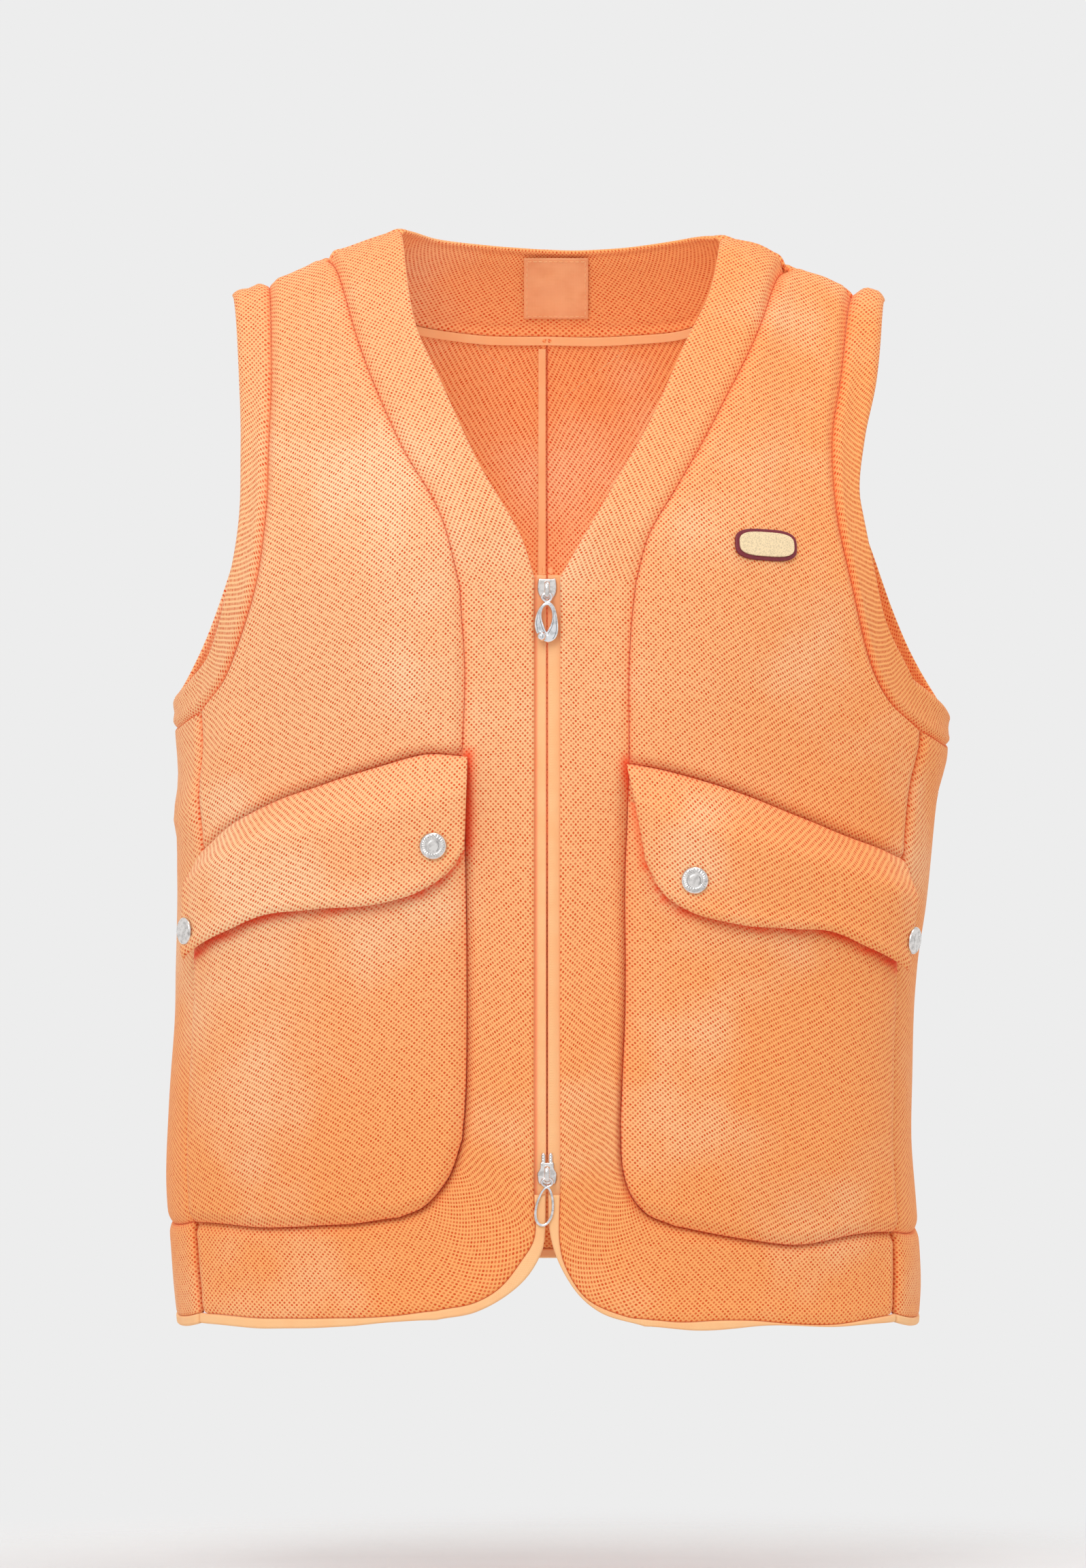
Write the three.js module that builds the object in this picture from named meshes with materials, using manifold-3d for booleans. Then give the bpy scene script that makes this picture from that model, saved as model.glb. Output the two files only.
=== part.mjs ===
// A sleeveless zip-front vest in thick spacer mesh, hanging as it does on a body.
// Millimetres, +Z up. The origin is on the centre line at the top of the shoulder line.
// The front faces -Y. "right" and "left" are the wearer's own: left is +X, right is -X.
//
// Every cloth piece lies on one body form. A point of the form is named by an angle round
// the body (0 at the zip, 90 at the side, 180 at the centre of the back) and by t, the
// square root of the drop below the shoulder line, so that t = 0 is the shoulder ridge.
import * as THREE from "three";
import { mergeVertices } from "three/addons/utils/BufferGeometryUtils.js";
import Module from "manifold-3d";

const wasm = await Module();
wasm.setup();

// ---------------------------------------------------------------- driving sizes, mm
const BODY_WIDTH = 408; // side to side at the hem
const BODY_LENGTH = 595; // shoulder line to hem
const FRONT_DEPTH = 108; // centre line to the zip
const BACK_DEPTH = 100; // centre line to the back
const ROUNDNESS = 2.3; // 2 is an ellipse, more is boxier
const BUST_RISE = 9;
const SIDE_SEAM_ANGLE = 68;

const FABRIC = 3; // spacer mesh
const SEAM_GAP = 0.4; // between two sewn pieces
const CLEARANCE = 0.3; // between two faces that meet
const LIFT = 1.2; // between a curved piece and the one laid over it
const BINDING_RISE = 0.4; // the binding stands this proud of the cloth
const WOVEN_TAPE = 1;
const LABEL_THICKNESS = 0.6;

const POCKET_DEPTH = 10.5; // how far the pocket stands off in the middle
const MOUTH_DROP = 20; // flap seam down to the pocket mouth
const FLAP_GAP = 5; // pocket face to flap back, where the snaps sit

const ZIP_TOP = -181;
const ZIP_EDGE = 7; // centre line to the edge of the front band
const TAPE_GAP = 0.6; // centre line to each zip tape
const TAPE_REACH = 5; // zip tape hidden behind the band
const BINDING_TOP = -521;
const TAPE_END = -537;
const COIL_WIDTH = 2.4;
const COIL_THICKNESS = 1.6;
const STOP_LENGTH = 2.8;
const PIN_LENGTH = 18;

const SLIDER_WIDTH = 10;
const SLIDER_LENGTH = 11.5;
const SLIDER_PLATE = 1.4;
const POST_HALF_WIDTH = 0.3;
const TOP_SLIDER_Z = -193.5;
const BOTTOM_SLIDER_Z = -509.6;
const LUG_LENGTH = 5.5;
const BRIDGE_WIDTH = 2.6;
const BRIDGE_THICKNESS = 1.2;
const BRIDGE_LENGTH = 9;
const PULL_THICKNESS = 1.2;
const PULL_CLEARANCE = 0.5; // pull to the binding behind it
const PULL_BAR = 1.4; // the bar of the pull that turns in the bridge
const EYE_LENGTH = 3.6;
const EYE_WIDTH = 3.8;
const TOP_PULL_LENGTH = 26.6;
const BOTTOM_PULL_LENGTH = 26;
const BOTTOM_PULL_WIDTH = 12.2;
const BOTTOM_PULL_TILT = 7; // degrees, lower end towards the wearer's right

const SNAP_RADIUS = 7.5;
const SNAP_HEIGHT = 2.2;
const SOCKET_RADIUS = 5.5;
const SOCKET_HOLE = 2.8;
const SOCKET_HEIGHT = 1.4;
const STUD_RADIUS = 4.8;
const STUD_HEIGHT = 1.2;
const KNOB_RADIUS = 1.5;
const KNOB_HEIGHT = 1.4;

const LABEL = { left: -13, right: 23, top: -11, bottom: -45 };
const NECK_TAPE_WIDTH = 5;
const CENTRE_TAPE = { from: -5, to: -0.7, top: -62, bottom: -508 };
const BADGE = { x: 118, z: -170, width: 36, height: 17.5, base: 1.6, face: 0.9, rim: 2, tilt: -4 };

// The seam curves below are drawn on a block of this size and graded to the sizes above.
const BLOCK = { width: 408, length: 595 };
const GRADE_X = BODY_WIDTH / BLOCK.width;
const GRADE_Z = BODY_LENGTH / BLOCK.length;

// Half the body's width against the drop below the shoulder line.
const HALF_WIDTH = {
  right: [[0, 204], [211, 204], [256, 201.5], [375, 203.5], [465, 207.5], [515, 205], [550, 202]],
  left: [[0, 217], [226, 219], [256, 213.5], [315, 207.5], [375, 200.5], [445, 199.5], [525, 204],
    [550, 203]],
};
// Depth in front of and behind the centre line, as a share of the full depth, against t.
const FRONT_PROFILE = [[0, 0], [2, 0.14], [4, 0.29], [6, 0.46], [8, 0.63], [10, 0.79], [12, 0.94],
  [13.3, 1], [16, 1], [26, 1]];
const BACK_PROFILE = [[0, 0], [2, 0.15], [4, 0.33], [6, 0.52], [8, 0.7], [10, 0.84], [12, 0.94],
  [14, 0.99], [17, 0.98], [20, 0.98], [26, 1.02]];
// Height of the shoulder line against the distance from the centre line.
const SHOULDER_LINE = [[0, 14], [50, 8], [85, 0], [110, -9], [135, -20], [155, -28], [180, -36],
  [200, -46], [225, -60]];

// Where the seam that holds the flap meets the side seam.
const SIDE_FLAP_Z = { right: -340, left: -344 };

// Segments along each part of the seams.
const COUNT = { neck: 9, chest: 2, pocket: 4, corner: 4, hem: 7, armhole: 10, underarm: 12,
  sideTop: 1, sideLow: 6, yoke: 6, shoulder: 3 };
const ZIP_STEPS = COUNT.chest + COUNT.pocket;
const SIDE_STEPS = COUNT.sideTop + COUNT.sideLow;
const CHEST_ROWS = COUNT.neck + COUNT.chest;
const PANEL_ROWS = COUNT.neck + ZIP_STEPS + COUNT.corner / 2;
const PANEL_COLUMNS = COUNT.hem + COUNT.corner / 2;

const radians = (degrees) => (degrees * Math.PI) / 180;
const degrees = (angle) => (angle * 180) / Math.PI;
const mix = (a, b, share) => a + (b - a) * share;
const smooth = (share) => {
  const s = Math.min(1, Math.max(0, share));
  return s * s * (3 - 2 * s);
};

// A smooth curve through points in order of x that never overshoots them.
function table(points) {
  const steps = points.slice(1).map(([x, y], i) => [x - points[i][0], y - points[i][1]]);
  const slopes = steps.map(([dx, dy]) => dy / dx);
  const tangents = points.map((_, i) => {
    if (i === 0) return slopes[0];
    if (i === slopes.length) return slopes[i - 1];
    if (slopes[i - 1] * slopes[i] <= 0) return 0;
    return (2 * slopes[i - 1] * slopes[i]) / (slopes[i - 1] + slopes[i]);
  });
  return (x) => {
    const last = points.length - 1;
    if (x <= points[0][0]) return points[0][1];
    if (x >= points[last][0]) return points[last][1];
    const i = points.findIndex(([edge]) => x < edge) - 1;
    const [dx, dy] = steps[i];
    const s = (x - points[i][0]) / dx;
    const bend = (tangents[i] + tangents[i + 1]) * dx - 2 * dy;
    return points[i][1] + s * (tangents[i] * dx + s * (
      3 * dy - (2 * tangents[i] + tangents[i + 1]) * dx + s * bend));
  };
}

const signedPower = (value, power) => Math.sign(value) * Math.abs(value) ** power;

// ---------------------------------------------------------------- the body form
class Form {
  constructor(side) {
    this.sign = side === "left" ? 1 : -1;
    this.halfWidth = table(HALF_WIDTH[side]);
    this.front = table(FRONT_PROFILE);
    this.back = table(BACK_PROFILE);
    this.shoulder = table(SHOULDER_LINE);
  }

  width(drop) {
    return this.halfWidth(drop / GRADE_Z) * GRADE_X;
  }

  ridge(x) {
    return this.shoulder(Math.abs(x) / GRADE_X) * GRADE_Z;
  }

  bust(x, z) {
    const across = (Math.abs(x) / GRADE_X - 95) / 64;
    const up = (z / GRADE_Z + 205) / 78;
    const clear = smooth((Math.abs(x) / GRADE_X - 14) / 40);
    return BUST_RISE * clear * Math.exp(-(across ** 2) - up ** 2);
  }

  // The point of the form at an angle and a t. A negative t is past the ridge.
  point([angle, t]) {
    const theta = radians(t < 0 ? 180 - angle : angle);
    const reach = Math.abs(t);
    const drop = (reach * reach) * GRADE_Z;
    const power = 2 / ROUNDNESS;
    const x = this.sign * this.width(drop) * signedPower(Math.sin(theta), power);
    const z = this.ridge(x) - drop;
    const turn = signedPower(Math.cos(theta), power);
    if (turn < 0) return new THREE.Vector3(x, -BACK_DEPTH * this.back(reach) * turn, z);
    const y = -FRONT_DEPTH * this.front(reach) * turn - this.bust(x, z) * Math.min(1, turn * 2);
    return new THREE.Vector3(x, y, z);
  }

  normal([angle, t]) {
    const round = this.point([angle + 0.6, t]).sub(this.point([angle - 0.6, t]));
    const down = this.point([angle, t + 0.06]).sub(this.point([angle, t - 0.06]));
    return down.cross(round).multiplyScalar(this.sign).normalize();
  }

  lifted(place, height) {
    return this.point(place).addScaledVector(this.normal(place), height);
  }

  angleOf(x, drop) {
    const share = Math.min(1, Math.abs(x) / this.width(drop));
    return degrees(Math.asin(share ** (ROUNDNESS / 2)));
  }

  // Places of the form, from sizes on the block. x is the distance from the centre line.
  onFront(x, z) {
    return this.frontAt(x * GRADE_X, z * GRADE_Z);
  }

  frontAt(x, z) {
    const drop = Math.max(0, this.ridge(x) - z);
    return [this.angleOf(x, drop), Math.sqrt(drop / GRADE_Z)];
  }

  onBack(x, z) {
    const [angle, t] = this.onFront(x, z);
    return [180 - angle, t];
  }

  onRidge(x) {
    return [this.angleOf(x * GRADE_X, 0), 0];
  }

  behindRidge(x) {
    return [180 - this.onRidge(x)[0], 0];
  }

  atAngle(angle, z) {
    const height = z * GRADE_Z;
    let drop = this.ridge(this.width(0)) - height;
    for (let pass = 0; pass < 6; pass += 1) {
      const x = this.width(drop) * Math.abs(Math.sin(radians(angle))) ** (2 / ROUNDNESS);
      drop = this.ridge(x) - height;
    }
    return [angle, Math.sqrt(drop / GRADE_Z)];
  }

  zipEdge(z) {
    return this.frontAt(ZIP_EDGE, z * GRADE_Z);
  }
}

const forms = { right: new Form("right"), left: new Form("left") };

// ---------------------------------------------------------------- seam curves
// Each curve is a list of places, top to bottom or centre to side.
const SEAMS = {
  right: (f) => ({
    neckEdge: [f.onRidge(81), f.onFront(72, -48), f.onFront(58, -80), f.onFront(38, -123),
      f.onFront(14.5, -164), f.zipEdge(-187)],
    zipEdge: [f.zipEdge(-187), f.zipEdge(BINDING_TOP)],
    cornerEdge: [f.zipEdge(BINDING_TOP), f.zipEdge(-545), f.onFront(14, -557), f.onFront(25, -571),
      f.onFront(39, -579.5), f.onFront(60, -584)],
    hemEdge: [f.onFront(60, -584), f.onFront(89, -587.5), f.onFront(146, -589.5),
      f.atAngle(SIDE_SEAM_ANGLE, -588.5)],
    bandTop: [f.onRidge(122), f.onFront(103, -60), f.onFront(81, -112), f.onFront(58, -152),
      f.onFront(46.5, -192.5)],
    bandChest: [f.onFront(46.5, -192.5), f.onFront(44, -238), f.onFront(46, -284)],
    bandPocket: [f.onFront(46, -284), f.onFront(44, -361), f.onFront(44, -463),
      f.onFront(46, -491)],
    bandCorner: [f.onFront(46, -491), f.onFront(53, -511), f.onFront(66, -527),
      f.onFront(80, -533.5)],
    bandHem: [f.onFront(80, -533.5), f.onFront(103, -537), f.onFront(131, -539),
      f.onFront(160, -540), f.atAngle(SIDE_SEAM_ANGLE, -538.5)],
    armholeSeam: [f.onRidge(153), f.onFront(151.5, -77), f.onFront(153, -115),
      f.onFront(154.5, -152), f.onFront(160, -192.5), f.onFront(171, -227), f.onFront(179, -246),
      f.atAngle(SIDE_SEAM_ANGLE, -262)],
    underarmSeam: [f.atAngle(SIDE_SEAM_ANGLE, -262), f.atAngle(90, -272), f.atAngle(105, -262),
      f.onBack(176, -235), f.onBack(160, -190), f.onBack(152, -140), f.onBack(150, -90),
      f.behindRidge(153)],
    armholeEdge: [f.onRidge(172.5), f.onFront(168.5, -80), f.onFront(167.5, -118),
      f.onFront(168, -154), f.onFront(172, -183), f.onFront(179, -213), f.onFront(185, -230),
      f.onFront(190.5, -238)],
    underarmEdge: [f.onFront(190.5, -238), f.atAngle(78, -249), f.atAngle(90, -253),
      f.atAngle(103, -246), f.onBack(187, -220), f.onBack(174, -183), f.onBack(165, -140),
      f.onBack(163, -100), f.behindRidge(172.5)],
    hemOutline: [f.frontAt(TAPE_GAP, BINDING_TOP * GRADE_Z), f.onFront(1, -540),
      f.onFront(2.5, -551), f.onFront(9.5, -564), f.onFront(21, -575), f.onFront(39, -584.8),
      f.onFront(60, -589)],
    hemBottom: [f.onFront(60, -589), f.onFront(103, -592.5), f.onFront(146, -595),
      f.atAngle(SIDE_SEAM_ANGLE, -594)],
    flapTop: [f.onFront(43, -284), f.onFront(66, -283), f.onFront(89, -289), f.onFront(117, -298),
      f.onFront(145, -308), f.onFront(168, -320), f.atAngle(SIDE_SEAM_ANGLE - 2, -338)],
    flapBottom: [f.onFront(44, -334), f.onFront(52, -346), f.onFront(67, -356.5),
      f.onFront(89, -363.5), f.onFront(120, -366.5), f.onFront(144, -370), f.onFront(164, -380),
      f.atAngle(SIDE_SEAM_ANGLE - 3, -396)],
    snaps: [f.onFront(61.5, -331.5), f.atAngle(61.5, -380)],
    neckBack: [f.behindRidge(81), f.onBack(60, -2.5), f.onBack(31, -6), f.onBack(0, -8.5)],
    yokeSeam: [f.behindRidge(122), f.onBack(100, -38), f.onBack(72, -50), f.onBack(40, -55),
      f.onBack(0, -56)],
    backHemSeam: [f.atAngle(SIDE_SEAM_ANGLE, -538.5), f.atAngle(110, -533), f.atAngle(145, -519),
      f.atAngle(180, -512)],
    backHemEdge: [f.atAngle(SIDE_SEAM_ANGLE, -588.5), f.atAngle(110, -583), f.atAngle(145, -568),
      f.atAngle(180, -561)],
    backHemBottom: [f.atAngle(SIDE_SEAM_ANGLE, -594), f.atAngle(110, -588.5), f.atAngle(145, -573.5),
      f.atAngle(180, -566.5)],
  }),
  left: (f) => ({
    neckEdge: [f.onRidge(96), f.onFront(89, -31), f.onFront(75, -60), f.onFront(57, -100),
      f.onFront(37, -135), f.onFront(22, -161), f.zipEdge(-187)],
    zipEdge: [f.zipEdge(-187), f.zipEdge(BINDING_TOP)],
    cornerEdge: [f.zipEdge(BINDING_TOP), f.zipEdge(-548), f.onFront(10, -560),
      f.onFront(20.5, -576.5), f.onFront(42.5, -587), f.onFront(57, -589)],
    hemEdge: [f.onFront(57, -589), f.onFront(73, -590.3), f.onFront(117, -590.3),
      f.atAngle(SIDE_SEAM_ANGLE, -589)],
    bandTop: [f.onRidge(133), f.onFront(115, -54), f.onFront(92, -100), f.onFront(72, -135),
      f.onFront(55, -164), f.onFront(47.5, -190)],
    bandChest: [f.onFront(47.5, -190), f.onFront(44.5, -221), f.onFront(44.5, -288)],
    bandPocket: [f.onFront(44.5, -288), f.onFront(42.5, -346), f.onFront(42.5, -420),
      f.onFront(40, -482)],
    bandCorner: [f.onFront(40, -482), f.onFront(41, -506), f.onFront(45, -520),
      f.onFront(53.5, -531), f.onFront(69, -538)],
    bandHem: [f.onFront(69, -538), f.onFront(93, -543), f.onFront(131, -549), f.onFront(163, -545),
      f.atAngle(SIDE_SEAM_ANGLE, -544)],
    armholeSeam: [f.onRidge(168.5), f.onFront(161, -77), f.onFront(156, -115),
      f.onFront(158.5, -152), f.onFront(167, -192.5), f.onFront(178, -237), f.onFront(188, -256),
      f.atAngle(SIDE_SEAM_ANGLE, -272)],
    underarmSeam: [f.atAngle(SIDE_SEAM_ANGLE, -272), f.atAngle(90, -281), f.atAngle(105, -271),
      f.onBack(187, -240), f.onBack(169, -190), f.onBack(158, -140), f.onBack(158, -90),
      f.behindRidge(168.5)],
    armholeEdge: [f.onRidge(184.5), f.onFront(179.5, -80), f.onFront(173, -112),
      f.onFront(170, -140), f.onFront(172, -154), f.onFront(177.5, -183), f.onFront(184.5, -213),
      f.onFront(198.5, -242.5)],
    underarmEdge: [f.onFront(198.5, -242.5), f.atAngle(78, -256), f.atAngle(90, -262),
      f.atAngle(103, -255), f.onBack(198, -226), f.onBack(182, -183), f.onBack(169, -140),
      f.onBack(171, -100), f.behindRidge(184.5)],
    hemOutline: [f.frontAt(TAPE_GAP, BINDING_TOP * GRADE_Z), f.onFront(1.2, -540),
      f.onFront(4.4, -553), f.onFront(10, -565), f.onFront(18, -576.3), f.onFront(30, -585.5),
      f.onFront(53, -592.5)],
    hemBottom: [f.onFront(53, -592.5), f.onFront(85, -595), f.onFront(131.5, -593),
      f.atAngle(SIDE_SEAM_ANGLE, -593.5)],
    flapTop: [f.onFront(43, -288), f.onFront(61, -291), f.onFront(85, -297.5),
      f.onFront(116, -308.5), f.onFront(146, -321), f.onFront(170, -331),
      f.atAngle(SIDE_SEAM_ANGLE - 2, -342)],
    flapBottom: [f.onFront(52, -340), f.onFront(60, -356.5), f.onFront(75, -367.5),
      f.onFront(100, -374.5), f.onFront(124, -376.5), f.onFront(145, -378), f.onFront(165, -388),
      f.atAngle(SIDE_SEAM_ANGLE - 3, -401)],
    snaps: [f.onFront(77.5, -350), f.atAngle(63.5, -383)],
    neckBack: [f.behindRidge(96), f.onBack(69, -4), f.onBack(45, -7.5), f.onBack(19, -9),
      f.onBack(0, -8.5)],
    yokeSeam: [f.behindRidge(133), f.onBack(104, -38), f.onBack(76, -52), f.onBack(40, -56),
      f.onBack(0, -56)],
    backHemSeam: [f.atAngle(SIDE_SEAM_ANGLE, -544), f.atAngle(110, -535), f.atAngle(145, -519),
      f.atAngle(180, -512)],
    backHemEdge: [f.atAngle(SIDE_SEAM_ANGLE, -589), f.atAngle(110, -584), f.atAngle(145, -568),
      f.atAngle(180, -561)],
    backHemBottom: [f.atAngle(SIDE_SEAM_ANGLE, -593.5), f.atAngle(110, -589), f.atAngle(145, -573.5),
      f.atAngle(180, -566.5)],
  }),
};

// A curve through places of the form, cut into equal steps.
const ANGLE_SCALE = 0.14;
function along(places, steps) {
  const points = places.map(([angle, t]) => new THREE.Vector3(angle * ANGLE_SCALE, t, 0));
  const curve = new THREE.CatmullRomCurve3(points, false, "centripetal");
  return curve.getSpacedPoints(steps).map((p) => [p.x / ANGLE_SCALE, Math.max(0, p.y)]);
}

const join = (first, second) => [...first, ...second.slice(1)];

// Every place inside four curves: two sides with the same steps, and a top and a bottom.
// The bends of the top and the bottom fade out quickly towards the middle.
const FADE = 3;
function patch(left, right, top, bottom) {
  const rows = left.length - 1;
  const columns = top.length - 1;
  const bend = (line, i, u, column) => line[column][i] - mix(line[0][i], line[columns][i], u);
  const place = (i, row, column) => {
    const u = column / columns;
    const v = row / rows;
    return mix(left[row][i], right[row][i], u) + (1 - v) ** FADE * bend(top, i, u, column)
      + v ** FADE * bend(bottom, i, u, column);
  };
  return left.map((_, row) => top.map((__, column) => [
    place(0, row, column),
    Math.max(0, place(1, row, column)),
  ]));
}

// A strip between two curves with the same steps. shares are the places across it.
function strip(inner, outer, shares) {
  return inner.map((place, i) => shares.map((share) => [
    mix(place[0], outer[i][0], share),
    mix(place[1], outer[i][1], share),
  ]));
}

// ---------------------------------------------------------------- closed solids
function geometryOf(vertices, faces) {
  const geometry = new THREE.BufferGeometry();
  geometry.setAttribute("position", new THREE.Float32BufferAttribute(vertices, 3));
  geometry.setIndex(faces);
  geometry.computeVertexNormals();
  return geometry;
}

function volumeOf(points, faces) {
  let volume = 0;
  for (let i = 0; i < faces.length; i += 3) {
    const [a, b, c] = [points[faces[i]], points[faces[i + 1]], points[faces[i + 2]]];
    volume += a.dot(b.clone().cross(c)) / 6;
  }
  return volume;
}

// A sheet of cloth as a closed solid. skins is a grid of [outer, inner] points.
function sheetSolid(skins, ring = false) {
  const rows = skins.length;
  const columns = skins[0].length;
  const lastRow = ring ? rows : rows - 1;
  const points = skins.flat().flat();
  const id = (row, column, face) => ((row % rows) * columns + column) * 2 + face;
  const faces = [];
  const quad = (a, b, c, d) => faces.push(a, b, c, a, c, d);
  for (let row = 0; row < lastRow; row += 1) {
    for (let column = 0; column < columns - 1; column += 1) {
      quad(id(row, column, 0), id(row, column + 1, 0), id(row + 1, column + 1, 0),
        id(row + 1, column, 0));
      quad(id(row, column, 1), id(row + 1, column, 1), id(row + 1, column + 1, 1),
        id(row, column + 1, 1));
    }
    quad(id(row, 0, 0), id(row + 1, 0, 0), id(row + 1, 0, 1), id(row, 0, 1));
    quad(id(row, columns - 1, 0), id(row, columns - 1, 1), id(row + 1, columns - 1, 1),
      id(row + 1, columns - 1, 0));
  }
  if (!ring) {
    for (let column = 0; column < columns - 1; column += 1) {
      quad(id(0, column, 0), id(0, column, 1), id(0, column + 1, 1), id(0, column + 1, 0));
      quad(id(rows - 1, column, 0), id(rows - 1, column + 1, 0), id(rows - 1, column + 1, 1),
        id(rows - 1, column, 1));
    }
  }
  if (volumeOf(points, faces) < 0) {
    for (let i = 0; i < faces.length; i += 3) {
      [faces[i + 1], faces[i + 2]] = [faces[i + 2], faces[i + 1]];
    }
  }
  return geometryOf(points.flatMap((p) => [p.x, p.y, p.z]), faces);
}

// The two skins of a piece: outer and inner heights over the form, drawn in from its edges.
function skinsOf(grid, formOf, heights, edgeGap = SEAM_GAP / 2, ring = false) {
  const rows = grid.length;
  const columns = grid[0].length;
  const base = grid.map((line, row) => line.map((place, column) => (
    formOf(row, column).point(place)
  )));
  const towards = (row, column, nextRow, nextColumn) => (
    base[nextRow][nextColumn].clone().sub(base[row][column]).normalize()
  );
  return grid.map((line, row) => line.map((place, column) => {
    const form = formOf(row, column);
    const shift = new THREE.Vector3();
    if (!ring && row === 0) shift.add(towards(row, column, 1, column));
    if (!ring && row === rows - 1) shift.add(towards(row, column, rows - 2, column));
    if (column === 0) shift.add(towards(row, column, row, 1));
    if (column === columns - 1) shift.add(towards(row, column, row, columns - 2));
    const centre = base[row][column].clone().addScaledVector(shift, edgeGap);
    const out = form.normal(place);
    const [high, low] = heights(form, place, row, column);
    return [
      centre.clone().addScaledVector(out, high),
      centre.clone().addScaledVector(out, low),
    ];
  }));
}

const clothHeights = () => [0, -FABRIC];
const bindingHeights = () => [BINDING_RISE, -FABRIC];
const behindCloth = (thickness) => () => [-FABRIC - LIFT, -FABRIC - LIFT - thickness];

function solidFrom(geometry) {
  const bare = geometry.clone();
  bare.deleteAttribute("normal");
  bare.deleteAttribute("uv");
  const merged = mergeVertices(bare, 1e-4);
  return new wasm.Manifold(new wasm.Mesh({
    numProp: 3,
    vertProperties: merged.attributes.position.array,
    triVerts: new Uint32Array(merged.index.array),
  }));
}

function geometryFrom(solid) {
  const mesh = solid.getMesh();
  return geometryOf(Array.from(mesh.vertProperties), Array.from(mesh.triVerts));
}

// Points in order round an outline: clockwise for a hole, the other way for a shape.
function wound(points, clockwise) {
  const line = points.map(([x, y]) => new THREE.Vector2(x, y));
  return THREE.ShapeUtils.isClockWise(line) === clockwise ? line : line.reverse();
}

function extruded(points, depth, holes = []) {
  const shape = new THREE.Shape(wound(points, false));
  holes.forEach((hole) => shape.holes.push(new THREE.Path(wound(hole, true))));
  return new THREE.ExtrudeGeometry(shape, { depth, bevelEnabled: false, steps: 1 });
}

function block(width, depth, height) {
  return new THREE.BoxGeometry(width, depth, height);
}

// ---------------------------------------------------------------- meshes
const root = new THREE.Group();
const LOOKS = {
  mesh: { color: 0xf9a86c, roughness: 0.85, metalness: 0 },
  woven: { color: 0xfcb07a, roughness: 0.8, metalness: 0 },
  label: { color: 0xeda56c, roughness: 0.75, metalness: 0 },
  steel: { color: 0xc9c6c4, roughness: 0.28, metalness: 1 },
  chrome: { color: 0xd9dadd, roughness: 0.12, metalness: 1 },
  badgeRim: { color: 0x7c2030, roughness: 0.5, metalness: 0 },
  badgeFace: { color: 0xf6dcb0, roughness: 0.5, metalness: 0 },
};

function add(name, look, geometry) {
  const mesh = new THREE.Mesh(geometry, new THREE.MeshStandardMaterial(LOOKS[look]));
  mesh.name = name;
  root.add(mesh);
  return mesh;
}

// ---------------------------------------------------------------- cloth of one side
function curvesOf(side) {
  const seams = SEAMS[side](forms[side]);
  const bandOuter = [
    along(seams.bandTop, COUNT.neck),
    along(seams.bandChest, COUNT.chest),
    along(seams.bandPocket, COUNT.pocket),
    along(seams.bandCorner, COUNT.corner),
    along(seams.bandHem, COUNT.hem),
  ].reduce(join);
  const bandInner = [
    along(seams.neckEdge, COUNT.neck),
    along(seams.zipEdge, ZIP_STEPS),
    along(seams.cornerEdge, COUNT.corner),
    along(seams.hemEdge, COUNT.hem),
  ].reduce(join);
  const sideTop = seams.armholeSeam[seams.armholeSeam.length - 1];
  const sideFlap = forms[side].atAngle(SIDE_SEAM_ANGLE, SIDE_FLAP_Z[side]);
  const sideBottom = seams.bandHem[seams.bandHem.length - 1];
  const flapSeam = [bandOuter[CHEST_ROWS], ...seams.flapTop.slice(1, -1), sideFlap];
  return {
    ...seams,
    bandOuter,
    bandInner,
    armhole: along(seams.armholeSeam, COUNT.armhole),
    underarm: along(seams.underarmSeam, COUNT.underarm),
    sideSeam: join(along([sideTop, sideFlap], COUNT.sideTop), along([sideFlap, sideBottom],
      COUNT.sideLow)),
    flapSeam: along(flapSeam, PANEL_COLUMNS),
  };
}

const curves = { right: curvesOf("right"), left: curvesOf("left") };

function chestPanel(side) {
  const { bandOuter, armhole, sideSeam, flapSeam, bandTop, armholeSeam } = curves[side];
  const inner = bandOuter.slice(0, CHEST_ROWS + 1);
  const outer = join(armhole, sideSeam).slice(0, CHEST_ROWS + 1);
  const shoulder = along([bandTop[0], armholeSeam[0]], PANEL_COLUMNS);
  const grid = patch(inner, outer, shoulder, flapSeam);
  return sheetSolid(skinsOf(grid, () => forms[side], clothHeights));
}

// The panel behind the pocket. The flap is sewn into the seam above it.
function lowerPanel(side) {
  const { bandOuter, armhole, sideSeam, flapSeam } = curves[side];
  const inner = bandOuter.slice(CHEST_ROWS, PANEL_ROWS + 1);
  const outer = join(armhole, sideSeam).slice(CHEST_ROWS);
  const grid = patch(inner, outer, flapSeam, bandOuter.slice(PANEL_ROWS));
  return sheetSolid(skinsOf(grid, () => forms[side], clothHeights));
}

function frontBand(side) {
  const { bandInner, bandOuter } = curves[side];
  const grid = strip(bandInner, bandOuter, [0, 1 / 3, 2 / 3, 1]);
  return sheetSolid(skinsOf(grid, () => forms[side], clothHeights));
}

function frontBinding(side) {
  const { bandInner, hemOutline, hemBottom } = curves[side];
  const inner = bandInner.slice(COUNT.neck + ZIP_STEPS);
  const outer = join(along(hemOutline, COUNT.corner), along(hemBottom, COUNT.hem));
  const grid = strip(inner, outer, [0, 1]);
  return sheetSolid(skinsOf(grid, () => forms[side], bindingHeights));
}

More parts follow.
